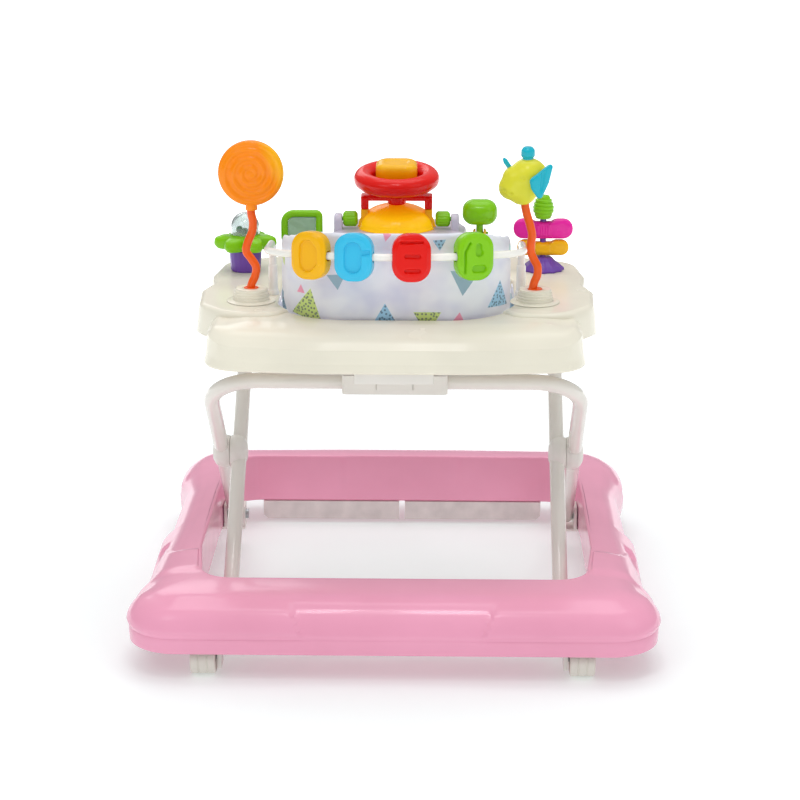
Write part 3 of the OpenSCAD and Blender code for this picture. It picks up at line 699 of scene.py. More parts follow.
def stage():
    """Pale room that brightens upwards, a floor that fades to white, the lights and camera."""
    world = bpy.data.worlds.new("studio")
    scene.world = world
    world.use_nodes = True
    tree = world.node_tree
    up = tree.nodes.new("ShaderNodeSeparateXYZ")
    tree.links.new(tree.nodes.new("ShaderNodeTexCoord").outputs["Generated"], up.inputs[0])
    glow = tree.nodes.new("ShaderNodeMapRange")
    tree.links.new(up.outputs["Z"], glow.inputs["Value"])
    for key, value in (("From Min", 0.1), ("From Max", 0.9), ("To Min", 0.3), ("To Max", 0.75)):
        glow.inputs[key].default_value = value
    tree.links.new(glow.outputs[0], tree.nodes["Background"].inputs["Strength"])
    tree.nodes["Background"].inputs["Color"].default_value = (1, 1, 1, 1)
    scene.view_settings.view_transform = "Standard"
    radius, sides = 16000, 96
    turns = [math.tau * k / sides for k in range(sides)]
    ring = [Vector((radius * math.cos(t), radius * math.sin(t), 0)) for t in turns]
    floor = mesh_object("studio_floor", ring, [tuple(range(sides))])
    m = Shader("pale_floor")
    m.set(m.main, Base_Color=m.mix(m.noise(1.5, 2), srgb(218, 225, 225), srgb(222, 229, 229)),
          Roughness=m.span(m.noise(30), 0.6, 0.75))
    away = m.vector("LENGTH", m.place).outputs["Value"]
    m.set(m.main, Emission_Color=(1, 1, 1, 1), Emission_Strength=m.span(away, 0.3, 1.0, 0.4, 2.0))
    floor.data.materials.append(m.material)
    for light in LIGHTS:
        area_light(*light)
    data = bpy.data.cameras.new("camera")
    data.lens, data.sensor_width = 103.5, 36
    camera = bpy.data.objects.new("camera", data)
    camera.location = (0.0614, -2.812, 1.0573)
    aim = Vector((0.003, -0.025, 0.258)) - camera.location
    camera.rotation_euler = aim.to_track_quat("-Z", "Y").to_euler()
    scene.collection.objects.link(camera)
    scene.camera = camera


stage()

# ---- Outlines that the shells share with the frame ---------------------------------------
half_w, half_l = box_of("base_shell")[1].xy
tray_x = box_of("tray_shell")[1].x
BASE_OUTER = outline(both_halves([
    (half_w, -half_l, 60), (half_w, -212, 16), (half_w - 10, -202, 8), (half_w - 8, -16, 6),
    (half_w - 17, -6, 8), (half_w - 18, 150, 80), (half_w - 7, 215, 50),
    (half_w - 7, half_l - 7, 78), (80, half_l, 300)]))
BASE_CALM = outline(both_halves([
    (half_w - 3, -half_l, 62), (half_w - 9, -200, 500), (half_w - 17, -20, 500),
    (half_w - 18, 130, 300), (half_w - 8, 225, 150), (half_w - 8, half_l - 7, 78),
    (80, half_l, 300)]))
BASE_INNER = outline(both_halves([(228, -236, 38), (241, -120, 80), (241, 90, 80),
                                  (237, 248, 44)]))
TRAY_REAR = both_halves([(90, -241, 260), (tray_x - 23, -228, 48), (tray_x - 23, -56, 12)])
# The deck ends in a round pad behind each stalk socket, and leaves the rear slope bare
TRAY_DECK = both_halves([
    (127, -141, 5), (140, -164, 26), (200, -168, 62), (tray_x - 6, -112, 58),
    (tray_x - 2, -38, 30), (tray_x - 12, 0, 24), (tray_x - 8, 46, 30), (tray_x - 18, 130, 44),
    (110, 184, 120), (40, 192, 200)])
HOLE = both_halves([(144, -176, 88), (144, 58, 44)])


def ring_shell(outer, inner, section, count, lower, push):
    """Closed ring between two outlines, with one cross section all the way round.

    section holds (from, distance, z): "out" counts inwards from outer, "in" outwards from
    inner, and "mid" is a fraction of the way between them. lower is the outline that the
    outer side follows low down, and push(point, kind, normal) gives a point's final place."""
    edge = resample(outer, count)
    inward = normals_in(edge)
    reach = max(d for kind, d, z in section if kind == "out")
    farthest = 25  # a crossing further away than this is another side of the outline
    rows = []
    for p, n in zip(edge, inward):
        step = crossing(p, n, lower)
        step = step if abs(step) < farthest else 0.0
        top = p + n * reach
        q = nearest(top, inner)
        away = (p - q).normalized()
        row = []
        for kind, d, z in section:
            if kind == "out":
                s = p + n * (d + step * smooth(92, 60, z))
            elif kind == "in":
                s = q + away * d
            else:
                s = top.lerp(q, d)
            v = Vector((s.x, s.y, z))
            row.append(push(v, kind, n))
        rows.append(row)
    return rings(rows, loop=True)


# ---- Base -------------------------------------------------------------------------------
def base_section():
    """Cross section of the base ring, from the lower lip up, over and back underneath."""
    side = bent_line([(5.5, 32, 0), (0.6, 34.5, 3), (0, 46, 3), (0, 51.8, 0)], 4)
    slope = [(v.x, v.y) for v in spline([(0.5, 52.6), (1.2, 58), (3.4, 66), (7, 74), (12.5, 81),
                                         (19, 87), (27, 92), (36, 95)], 3)]
    out = [("out", v.x, v.y) for v in side] + [("out", d, z) for d, z in slope]
    for t, z in ((0.12, 95.9), (0.25, 96.6), (0.4, 97.2), (0.55, 97.6), (0.7, 97.9), (0.82, 98)):
        out.append(("mid", t, z))
    wall = bent_line([(4, 98, 0), (0, 98, 3.2), (0, 34, 2), (2.4, 32.2, 0)], 6)
    out += [("in", v.x, v.y) for v in wall]
    out += [("in", 3.6, z) for z in (33, 45, 60, 75, 90)] + [("mid", 0.7, 93.6)]
    out += [("mid", 0.3, 92.4)]
    inside = [(36, 90.4), (26, 87), (18, 81.5), (12, 74.5), (8, 66), (5.4, 57), (4.6, 46)]
    return out + [("out", d, z) for d, z in inside]


def base_push(v, kind, n):
    """Cushioned corners, the side rails' steps and scoops, and the front rail's dish."""
    x, y, z = abs(v.x), v.y, v.z
    inner = kind == "in"
    if not inner and z > 50 and y < -200:  # rear corners
        line = 103 + 16 * (z - 50) / 35
        face = smooth(line - 2.5, line + 2.5, x) * smooth(-232, -262, y)
        swell = 3.6 * face * smooth(52, 58, z) * smooth(92, 80, z)
        v = v + Vector((-n.x, -n.y, 0.6)) * swell
    if not inner and x > 200 and y < 0:  # side rails
        edge = lerp(-12, -138, smooth(58, 96, z))
        v = v + Vector((0, 0, 2.0 * smooth(edge, edge - 5, y) * smooth(-225, -200, y)
                        * smooth(60, 90, z)))
        along = (y + 160) / 90
        if 0 < along < 1.02:
            heart = 64 + 9 * along
            depth = 8.5 * smooth(0, 0.8, along) * smooth(1.02, 0.9, along)
            band = smooth(heart - 5 - 7 * along, heart - 1, z) * smooth(heart + 13, heart + 3, z)
            v = v + Vector((n.x, n.y, 0)) * depth * band
    if not inner and y > 190 and x > 215:  # front corners
        v = v + Vector((-n.x, -n.y, 0)) * 1.6 * smooth(190, 215, y) * smooth(58, 66, z) \
            * smooth(90, 78, z)
    if inner and y > 230 and z > 60:  # front rail's inner face
        oval = (v.x / 88) ** 2 + ((z - 99) / 19) ** 2
        v = v + Vector((0, 1.8, 0)) * smooth(1.0, 0.8, oval)
    return v


def base_shell():
    """The pink ring, with a well for each rear wheel."""
    part = ring_shell(BASE_CALM, BASE_INNER, base_section(), count=620, lower=BASE_OUTER,
                      push=base_push)
    body = mesh_object("base_ring", *part)
    wheel_well = brick(184, 226, -262, -204, 20, 68, 1)
    combine(body, join_parts([wheel_well, mirrored(wheel_well)]))
    tidy(body)
    return adopt(body, "base", "pink_plastic", "base_shell", sharp=30)


base_shell()


# ---- Tray -------------------------------------------------------------------------------
def stepped(corners, section, push=None, steps=12):
    """Solid over one outline, moved inwards as section's (distance, z) says."""
    rows = []
    for d, z in section:
        ring = [Vector((p.x, p.y, z)) for p in outline(inset(corners, d), steps)]
        rows.append([push(v) for v in ring] if push else ring)
    return rings(rows)


def crease_rise(v):
    """The rear skirt's crease climbs towards the wings."""
    rise = 9 * smooth(-236, -188, v.y) * smooth(354, 372, v.z) * smooth(398, 384, v.z)
    return v + Vector((0, 0, rise))


def wing_rise(v):
    """The wings' lower edge climbs towards the rear."""
    rise = 16 * smooth(-50, -115, v.y) * smooth(385, 352, v.z)
    return v + Vector((0, 0, rise))


def tray_shell():
    """Sloped rear skirt and raised deck, hollow underneath, with the seat opening."""
    skirt = rounded([(1.2, 350, 0), (0, 352.5, 1.5), (2.6, 361, 12), (4.8, 377.4, 0)], 4)
    slope = [(v.x, v.y) for v in spline([(5.6, 378.4), (8.4, 381.8), (13, 386.4), (20, 391.2),
                                         (28, 395), (36, 397.2), (46, 398.6), (54, 399)], 3)]
    body = mesh_object("tray_body", *stepped(TRAY_REAR, skirt + slope, crease_rise, 16))
    wing = rounded([(1, 350, 0), (0, 352, 1.5), (2.4, 392, 60), (4.6, 400.8, 5),
                    (9, 403.2, 6), (13, 403.2, 0)], 5)
    combine(body, stepped(TRAY_DECK, wing, wing_rise), "UNION")
    under = [(5, 340), (5.5, 352), (7, 362), (9.4, 373), (14, 378), (20, 384), (28, 389.5),
             (36, 392.6), (46, 394.2)]
    combine(body, stepped(TRAY_REAR, under))
    under = [(5, 340), (5.2, 352), (7, 392), (8.6, 398.4), (12, 399)]
    combine(body, stepped(TRAY_DECK, under, wing_rise))
    lip = [(0, 340), (0, 400), (-0.6, 401.4), (-1.8, 402.6), (-3.2, 403.3), (-3.4, 404)]
    combine(body, stepped(HOLE, lip, steps=14))
    tidy(body)
    body.data.validate()  # drops a doubled face that the booleans leave
    return adopt(body, "tray", "ivory_plastic", "tray_shell", sharp=28)


tray_shell()

# ---- Soft goods -------------------------------------------------------------------------
def inflate(obj, voxel, pressure, cap, frames=14):
    """Remeshes a pad and lets cloth under pressure find its folds, moving at most cap."""
    skin = obj.modifiers.new("skin", "REMESH")
    skin.mode, skin.voxel_size = "VOXEL", voxel * MM
    apply_modifiers(obj)
    before = [v.co.copy() for v in obj.data.vertices]
    cloth = obj.modifiers.new("cloth", "CLOTH")
    cloth.settings.quality = 5
    cloth.settings.mass = 0.15
    cloth.settings.tension_stiffness = 20
    cloth.settings.compression_stiffness = 20
    cloth.settings.bending_stiffness = 0.6
    cloth.settings.use_pressure = True
    cloth.settings.uniform_pressure_force = pressure
    cloth.settings.effector_weights.gravity = 0
    cloth.point_cache.frame_start, cloth.point_cache.frame_end = 1, frames
    for number in range(1, frames + 1):
        scene.frame_set(number)
    swollen = obj.evaluated_get(bpy.context.evaluated_depsgraph_get())
    after = [v.co.copy() for v in swollen.data.vertices]
    obj.modifiers.clear()
    scene.frame_set(1)
    for v, a, b in zip(obj.data.vertices, before, after):
        step = b - a
        v.co = a + step * min(1, cap * MM / max(step.length, 1e-9))
    ease = obj.modifiers.new("ease", "SMOOTH")
    ease.factor, ease.iterations = 0.5, 3
    finer = obj.modifiers.new("finer", "SUBSURF")
    finer.levels = 1
    apply_modifiers(obj)


def sew(obj, depth):
    """Presses sewn channels in along the normals: depth(v) in millimetres at a point."""
    normals = [v.normal.copy() for v in obj.data.vertices]
    for v, n in zip(obj.data.vertices, normals):
        v.co -= n * depth(v.co / MM) * MM
    obj.data.update()


def lay_cloth(obj, flat):
    """Stores each point's flat cloth coordinates, flat(v) in millimetres, for the print."""
    layer = obj.data.attributes.new("cloth", "FLOAT_VECTOR", "POINT")
    for item, v in zip(layer.data, obj.data.vertices):
        along, up = flat(v.co / MM)
        item.vector = (along * MM, up * MM, 0)


def height_at(x, line):
    """Highest point of a closed line over x."""
    top = -1e9
    for a, b in zip(line, line[1:] + line[:1]):
        if (a.x <= x) != (b.x <= x):
            top = max(top, a.y + (b.y - a.y) * (x - a.x) / (b.x - a.x))
    return top


def back_line(d, count):
    """Line inside the seat opening's rear edge, d from it, from left to right."""
    ring = resample(outline(inset(HOLE, d), 24), 1200)
    rear = sorted((p for p in ring if p.y < -97), key=lambda p: math.atan2(p.x, -(p.y + 60)))
    return resample(rear, count, closed=False)


def backrest():
    """Padded band that stands in the rear of the seat opening."""
    low, high = box_of("backrest_pad")
    shape = outline([(-145, low.z, 6), (145, low.z, 6), (145, high.z - 23, 34),
                     (100, high.z, 90), (-100, high.z, 90), (-145, high.z - 23, 34)], 16)
    count, half_thick, half_x = 161, 5.4, 143
    middle = back_line(9.9, count)
    lengths = [0.0]
    for a, b in zip(middle, middle[1:]):
        lengths.append(lengths[-1] + (b - a).length)
    whole = lengths[-1]
    rows = []
    for i, p in enumerate(middle):
        ahead = (middle[min(i + 1, count - 1)] - middle[max(i - 1, 0)]).normalized()
        out = Vector((ahead.y, -ahead.x))
        end = min(lengths[i], whole - lengths[i])
        k = math.sqrt(clamp(1 - (1 - clamp(end / 7)) ** 2, 0.02, 1))
        half = half_thick * k
        top = height_at(clamp(p.x, -half_x, half_x), shape) - 1.6 - 6 * (1 - k)
        foot = low.z + 2 + 4 * (1 - k)
        corners = [(half, foot, half * 0.6), (half, top, half), (-half, top, half),
                   (-half, foot, half * 0.6)]
        ring = [Vector((p.x + out.x * q.x, p.y + out.y * q.x, q.y))
                for q in resample(outline(corners, 8), 88)]
        rows.append(ring)
    obj = mesh_object("backrest_cushion", *rings(rows))
    inflate(obj, voxel=4.6, pressure=4, cap=1.8)
    tree = kdtree.KDTree(len(middle))
    for i, p in enumerate(middle):
        tree.insert((p.x, p.y, 0), i)
    tree.balance()

    def along(v):
        return lengths[tree.find((v.x, v.y, 0))[1]] - whole / 2

    tops = [height_at(min(x, half_x), shape) for x in range(150)]

    def seams(v):
        top = tops[int(min(abs(v.x), 149))]
        roll = smooth(3.2, 0.6, abs(v.z - (top - 24)))
        side = smooth(3.0, 0.6, abs(abs(along(v)) - (whole / 2 - 15)))
        foot = smooth(3.0, 0.6, abs(v.z - (low.z + 30)))
        return 1.5 * max(roll, side * smooth(top - 18, top - 26, v.z), foot)
    sew(obj, seams)

    def flat(v):
        i = tree.find((v.x, v.y, 0))[1]
        a, b = middle[max(i - 1, 0)], middle[min(i + 1, count - 1)]
        ahead = (b - a).normalized()
        return lengths[i] - whole / 2 + (v.xy - middle[i]).dot(ahead), v.z
    lay_cloth(obj, flat)
    adopt(obj, "tray", "printed_fabric", "backrest_pad", sharp=180)
    obj.data.materials[0] = BACK_CLOTH


def seat():
    """Quilted sling: a bowl that hangs in the tray's opening, with two bound leg openings."""
    centre, pan = Vector((0, -18)), Vector((0, -14))
    pan_x, pan_y, pan_z = 86, 42, 315.5  # half axes of the flat pan, and its height
    pan_rings, wall_rings, count = 7, 24, 160
    sides = resample(outline(inset(HOLE, 6), 16), count)

    def rim_at(p, front_z, rear_z):
        """The sling's rim next to the opening's point p; it is drawn in and low behind."""
        rear = smooth(-70, -112, p.y)
        return centre + (p - centre) * (1 - 0.075 * rear), lerp(front_z, rear_z, rear)
    rows = []
    for j in range(-pan_rings, wall_rings + 1):
        ring = []
        for p in sides:
            away = p - centre
            edge, top = rim_at(p, 390, 361)
            spin = math.atan2(away.y / pan_y, away.x / pan_x)
            side = Vector((pan_x * math.cos(spin), pan_y * math.sin(spin))) + pan
            if j <= 0:
                k = (j + pan_rings + 0.02) / (pan_rings + 0.02)
                q = pan + (side - pan) * k
                ring.append(Vector((q.x, q.y, pan_z - 3.5 * (1 - k * k))))
            else:
                t = j / wall_rings
                q = side.lerp(edge, t)
                ring.append(Vector((q.x, q.y, lerp(pan_z, top, t ** 1.55))))
        rows.append(ring)
    verts, faces = rings(rows, ends=False)
    faces.append(tuple(range(count))[::-1])
    obj = mesh_object("seat_sling_cloth", verts, faces)
    shell = obj.modifiers.new("shell", "SOLIDIFY")
    shell.thickness, shell.offset = 7 * MM, 0
    apply_modifiers(obj)
    inflate(obj, voxel=4.4, pressure=3, cap=3.0)

    seams = 14

    def channels(v):
        away = Vector((v.x, v.y - pan.y))
        spin = math.atan2(away.y / pan_y, away.x / pan_x)
        ray = abs((spin / math.tau * seams) % 1 - 0.5) * math.tau / seams * away.length
        ring = abs(math.hypot(away.x / pan_x, away.y / pan_y) - 1) * pan_y
        lines = max(smooth(3.2, 0.8, ray) * smooth(24, 40, away.length), smooth(3, 0.8, ring))
        return 1.4 * lines * smooth(384, 376, v.z)
    sew(obj, channels)
    edges = []
    for side in (-1, 1):
        ring = []
        for k in range(72):
            t = math.tau * k / 72
            ring.append(Vector((side * 60 + 27 * math.cos(t), pan.y + 30 * math.sin(t))))
        edges.append(ring)
    surface = bvhtree.BVHTree.FromObject(obj, bpy.context.evaluated_depsgraph_get())
    bindings = []
    for ring in edges:
        line = []
        for p in ring:
            top = surface.ray_cast(Vector((p.x, p.y, 420)) * MM, Vector((0, 0, -1)))[0]
            line.append(Vector((p.x, p.y, top.z / MM - 3.6)))
        bindings.append(cord_loop(line, 4.6))
    for ring in edges:
        tube = rings([[Vector((p.x, p.y, z)) for p in ring] for z in (270, 420)])
        combine(obj, tube, solver="FAST")
    lay_cloth(obj, lambda v: (v.x, v.y + 0.9 * v.z))
    adopt(obj, "tray", "printed_fabric", "seat_sling", sharp=60)
    rim = []
    for p in sides:
        q, z = rim_at(p, 391, 362)
        rim.append(Vector((q.x, q.y, z)))
    trim = mesh_object("seat_binding", *join_parts(bindings + [cord_loop(rim, 4.4)]))
    plain = 0.011  # so small a share of the print that its triangles don't show
    lay_cloth(trim, lambda v: (plain * v.x, plain * v.y))
    adopt(trim, "tray", "printed_fabric", sharp=180)
    straps = []
    for x, y in ((-145, -70), (-145, 10), (145, -70), (145, 10), (-56, 60), (56, 60)):
        dx, dy = (3, 9) if abs(x) > 100 else (9, 3)
        straps.append(brick(x - dx, x + dx, y - dy, y + dy, 380, 399.4, 1.2))
    loops = mesh_object("seat_loops", *join_parts(straps))
    lay_cloth(loops, lambda v: (plain * v.x, plain * v.y))
    adopt(loops, "tray", "printed_fabric", sharp=50)


BACK_CLOTH = fabric("printed_back_cloth", scattered=False)
backrest()
seat()


# ---- Wheels -----------------------------------------------------------------------------
def wheel_part(radius, width):
    """Moulded wheel about Z: rounded tread with two grooves, dished faces and a hub cap."""
    half, hub = width / 2, radius * 0.42
    side = [(0, half - 0.4, 0), (hub * 0.8, half - 0.4, 1), (hub, half - 1.8, 0.8),
            (radius * 0.74, half - 2.2, 1.5), (radius * 0.82, half, 1.2), (radius, half, 2.6),
            (radius, half * 0.42, 0), (radius - 0.9, half * 0.38, 0.3),
            (radius - 0.9, half * 0.3, 0.3), (radius, half * 0.26, 0.2), (radius, 0, 0)]
    face = rounded(side, 4)
    profile = [(r, -z) for r, z in face] + [(r, z) for r, z in reversed(face[:-1])]

    def spokes(t, r, z):
        between = 0.5 + 0.5 * math.cos(6 * t)
        return r if r > radius * 0.75 or r < hub else r + 0.8 * (between - 0.5)
    return moved(lathe(profile, 72, spokes), turn(90, "Y"))


def wheels():
    """Fixed rear wheels, and front wheels of two discs each."""
    half_gap = 2.9  # between the two discs of a front wheel
    for side in ("left", "right"):
        for end in ("rear", "front"):
            node = f"{end}_wheel_{side}"
            low, high = box_of(node)
            middle, radius = (low + high) / 2, (high.z - low.z) / 2
            if end == "rear":
                parts = [moved(wheel_part(radius, high.x - low.x), at(*middle))]
            else:
                each = (high.x - low.x) / 2 - half_gap
                parts = [moved(wheel_part(radius, each),
                               at(middle.x + s * (half_gap + each / 2), middle.y, middle.z))
                         for s in (-1, 1)]
            piece(f"{end}_tyre_{side}", parts, f"{end}_{side}_wheel", "wheel_plastic", node,
                  sharp=35)


wheels()


def bent_tubes():
    """The two U tubes: straight arms from their feet, wide bends and a cross bar."""
    tube_r, bend = 9.5, 62
    tip = ball(tube_r, 36)
    for frame_name, rear_foot in (("outer", False), ("inner", True)):
        node = f"{frame_name}_tube"
        low, high = box_of(node)
        half, ends = high.x - tube_r, [high.y - tube_r, low.y + tube_r]
        foot_y, top_y = ends[::-1] if rear_foot else ends
        foot = Vector((0, foot_y, low.z + tube_r))
        arm = Vector((0, top_y, high.z - tube_r)) - foot
        reach, up = arm.length, arm.normalized()
        side = bent_line([(half, 0, 0), (half, reach, bend), (0, reach, 0)], 16)
        right = [foot + up * v.y + Vector((v.x, 0, 0)) for v in side]
        left = [Vector((-v.x, v.y, v.z)) for v in reversed(right[:-1])]
        tube = [sweep(right + left, tube_r, 32)]
        tube += [moved(tip, at(s * half, foot.y, foot.z)) for s in (-1, 1)]
        piece(f"{frame_name}_bent_tube", tube, f"{frame_name}_frame", "white_paint", node,
              sharp=60)


def hub_covers():
    """Rounded plastic covers over the two tubes at the crossing, one half on each frame."""
    half = [(0, 0, 0), (20, 0, 1.2), (21.5, 7, 9), (18.5, 17, 8), (10, 21.8, 6), (0, 22, 0)]
    profile = rounded(half, 6)
    depth = 21.7  # of the outer cover, which stays clear of the inner one as they turn
    for frame_name, out in (("inner", -1), ("outer", 1)):
        node = f"{frame_name}_hub_covers"
        low, high = box_of(node)
        middle = (low + high) / 2
        face = high.x - depth if out > 0 else high.x
        part = moved(lathe(profile, 64), at(face, middle.y, middle.z) @ turn(90 * out, "Y"))
        piece(f"{frame_name}_hub_caps", [part, mirrored(part)], f"{frame_name}_frame",
              "white_plastic", node, sharp=50)


def rack_face():
    """Smooth rear plate over the height rack's slots."""
    low, high = box_of("height_rack")
    plate = brick(low.x - 0.5, high.x + 0.5, low.y - 1.5, low.y - 0.1, low.z, high.z - 4, 0.6)
    piece("rack_plate", plate, "tray", "white_plastic", sharp=50)


bent_tubes()
hub_covers()
rack_face()


# ---- Stalk toys -------------------------------------------------------------------------
STALK_X, STALK_Y = (-176, 168), -97


def sockets():
    """Stacked ribbed collars round the two stalk plugs."""
    low, high = box_of("stalk_sockets")
    z0 = low.z
    edge = [(9.3, z0 + 0.2, 0), (30, z0 + 0.2, 0), (30, z0 + 1.2, 1.0), (24.5, z0 + 1.9, 1.5)]
    r, z = 22.4, z0 + 2.2
    for _ in range(4):
        edge += [(r, z, 0.6), (r, z + 2.7, 1.0), (r - 0.9, z + 3.1, 0.4)]
        r, z = r - 0.8, z + 3.3
    edge += [(r, z, 0.4), (r, high.z, 1.4), (9.3, high.z, 0.8), (9.3, z0 + 0.2, 0)]
    profile = rounded(edge, 4)
    parts = [moved(hoop(profile, 80), at(x, STALK_Y, 0)) for x in STALK_X]
    piece("socket_collars", parts, "tray", "ivory_plastic", "stalk_sockets", sharp=32)


def stalk(name, node, waves, body):
    """Wavy flattened stalk and the round plug that it stands on."""
    line = spline([(x, STALK_Y, z) for x, z in waves], 7)
    low = box_of(node)[0]
    side = STALK_X[waves[0][0] > 0]
    plug = [(0, low.z, 0), (8.9, low.z, 0.8), (8.9, low.z + 14.6, 1.4), (7, low.z + 15, 0.3),
            (6.2, low.z + 14.2, 0.3), (0, low.z + 14.2, 0)]
    profile = rounded(plug, 4)
    parts = [sweep(line, radius=5.0, count=28, squash=0.9),
             moved(lathe(profile, 48), at(side, STALK_Y, 0))]
    piece(name, parts, body, "stalk_orange", node, sharp=40)


def lollipop():
    """Round sweet with a raised spiral on both faces."""
    low, high = box_of("lollipop")
    middle, radius = (low + high) / 2, (high.z - low.z) / 2
    edge = [radius * Vector((math.cos(t), math.sin(t))) for t in
            (math.tau * k / 144 for k in range(144))]

    def spiral(x, y):
        r, t = math.hypot(x, y), math.atan2(y, x)
        turns = r / 10.5 - t / math.tau
        ridge = 0.5 - 0.5 * math.cos(math.tau * turns)
        return (2.2 * ridge ** 1.3 - 1.2) * smooth(1, 7, r) * smooth(radius - 2, radius - 6, r)
    part = pillow(edge, half=7.4, round_r=5.5, crown=0.6, relief=spiral, count=40)
    disc = moved(part, at(*middle) @ turn(90, "X"))
    neck = [(0, -4, 0), (7.4, -4, 1.2), (6.4, 9, 3), (0, 9, 0)]
    collar = moved(lathe(rounded(neck, 4), 32),
                   at(middle.x, middle.y, low.z - 1.5))
    obj = piece("lollipop_disc", [disc, collar], "left_stalk", "orange_plastic", "lollipop",
                sharp=55)
    m = Shader("sweet_moulding_painted_light")
    # Towards its upper right rim the sweet is painted a lighter orange: painted light, standing in
    # for light falling on that side.
    reach = m.vector("DOT_PRODUCT", m.vector("SUBTRACT", m.place, middle * MM).outputs[0],
                     (0.92, 0, 0.38)).outputs["Value"]
    body = m.mix(m.span(reach, 0, 1, 0.020, 0.034), srgb(255, 142, 0), srgb(255, 180, 0))
    body = m.mix(m.span(m.noise(1400, 1), 0, 0.06, 0.5, 0.75), body, srgb(226, 118, 0))
    m.set(m.main, Base_Color=body, Roughness=m.span(m.noise(24, 3), 0.2, 0.28),
          Normal=m.bump(m.noise(520, 2), 0.00002, 0.6), Coat_Weight=0.1)
    m.set(m.main, IOR=1.46, Specular_IOR_Level=0.3)
    obj.data.materials[0] = m.material


def blob(name, balls, voxel, relax):
    """One smooth body grown from overlapping balls (centre, radii, turn about Y)."""
    parts = []
    for centre, radii, lean in balls:
        bm = bmesh.new()
        bmesh.ops.create_icosphere(bm, subdivisions=4, radius=1)
        shape = at(*centre) @ turn(lean, "Y") @ Matrix.Diagonal((*radii, 1))
        verts = [shape @ v.co for v in bm.verts]
        parts.append((verts, [tuple(v.index for v in f.verts) for f in bm.faces]))
        bm.free()
    obj = mesh_object(name, *join_parts(parts), weld=False)
    remesh = obj.modifiers.new("skin", "REMESH")
    remesh.mode, remesh.voxel_size = "VOXEL", voxel * MM
    ease = obj.modifiers.new("ease", "SMOOTH")
    ease.factor, ease.iterations = 0.5, relax
    apply_modifiers(obj)
    return obj


def dent(obj, spots):
    """Pushes soft dimples (centre, radius, depth) into a body along its normals."""
    def depth_at(v):
        gaps = [(v - Vector(centre)).length for centre, radius, depth in spots]
        return sum(depth * smooth(radius, radius * 0.25, gap)
                   for (centre, radius, depth), gap in zip(spots, gaps))
    sew(obj, depth_at)


def giraffe():
    """Rounded head with a drooping leaf ear, a small far ear and a button on top."""
    head = Vector((156, STALK_Y, 561))

    def here(x, y, z):
        return tuple(head + Vector((x, y, z)))
    skull = blob("giraffe_skull", [(here(2, 0, -5), (24, 20.5, 24), 0),
                                   (here(-10, -1, -9), (21, 17, 17), 35),
                                   (here(-19, -3, -17), (15.5, 14.5, 15), 25),
                                   (here(-5, 0, -22), (18, 16, 17), 0)],
                 voxel=1.5, relax=45)
    dent(skull, [(here(-19.5, -16.5, -22.5), 3.6, 1.8), (here(-28, -14, -19), 3.2, 1.6),
                 (here(-6, -20, -3), 4.2, 1.7), (here(-24, -13, -27), 3.0, 0.7)])
    adopt(skull, "right_stalk", "head_yellow", "giraffe_head", sharp=80)
    near = [(15, -30, 4), (26, -8, 14), (32, 15, 3), (25, 13, 5), (11, 3, 10), (1, -3, 6),
            (4, -15, 9)]
    far = [(-30, 20, 1.8), (-24, 16.5, 3), (-16.5, 5, 2.4), (-21, 2.5, 2), (-28, 12, 3)]

    def leaf(corners, half, depth):
        edge = resample(outline(corners, 8), 96)
        centre = sum(edge, Vector((0, 0))) / len(edge)

        def vein(x, y):
            across = (x - centre.x) - 0.12 * (y - centre.y)
            return -depth * smooth(3.4, 0.6, abs(across)) * smooth(17, 6, abs(y - centre.y))
        return pillow(edge, half, round_r=half * 0.7, crown=0.6, relief=vein, count=16)
    upright = turn(90, "X")
    ears = [moved(leaf(near, 2.6, 1.5), at(*here(16, -20.5, 0)) @ turn(22, "Z")
                  @ at(-16, 0, 0) @ upright),
            moved(leaf(far, 2.0, 0.6), at(*here(0, 3, 0)) @ upright)]
    knob = [(0, 15, 0), (7, 15, 1), (6.6, 19, 1), (8.4, 21, 3), (8.2, 28, 4), (5.2, 32, 3),
            (0, 32.6, 0)]
    top = moved(lathe(rounded(knob, 5), 40), at(*here(1, 0, 0)))
    piece("giraffe_trim", ears + [top], "right_stalk", "teal_plastic", "giraffe_ears", sharp=50)


sockets()
stalk("wavy_stalk_left", "stalk_left",
      [(-177, 417), (-175, 425), (-171, 434), (-169.6, 445), (-175, 455), (-181.3, 465),
       (-178.5, 477), (-173.5, 489), (-172.6, 501), (-174.5, 513), (-174.5, 534)], "left_stalk")
stalk("wavy_stalk_right", "stalk_right",
      [(164.5, 417), (167, 428), (170.5, 437), (170.5, 447), (166, 456), (162.4, 465),
       (162.2, 475), (163.3, 486), (160.5, 499), (156.5, 512), (154, 526), (154, 546)],
      "right_stalk")
lollipop()
giraffe()


# ---- Letter bar -------------------------------------------------------------------------
# The bar lies in a plane that passes over the posts at BAR_Y, BAR_Z and rises to the rear by
# 15 mm over 152 mm. Its bow has radius BOW_R and reaches BOW_BACK behind the posts.
BAR_RISE = math.atan2(15, 152)
BOW_R, BOW_BACK, BAR_Y, BAR_Z = 240, 154 / math.cos(BAR_RISE), -60, 468
BAR_FRAME = at(0, BAR_Y, BAR_Z) @ Matrix.Rotation(-BAR_RISE, 4, "X")


def on_bow(x):
    """Frame on the bowed stretch at x, with the bar along its X axis."""
    spin = math.asin(x / BOW_R)
    back = BOW_BACK - BOW_R + BOW_R * math.cos(spin)
    return BAR_FRAME @ at(x, -back, 0) @ Matrix.Rotation(spin, 4, "Z")


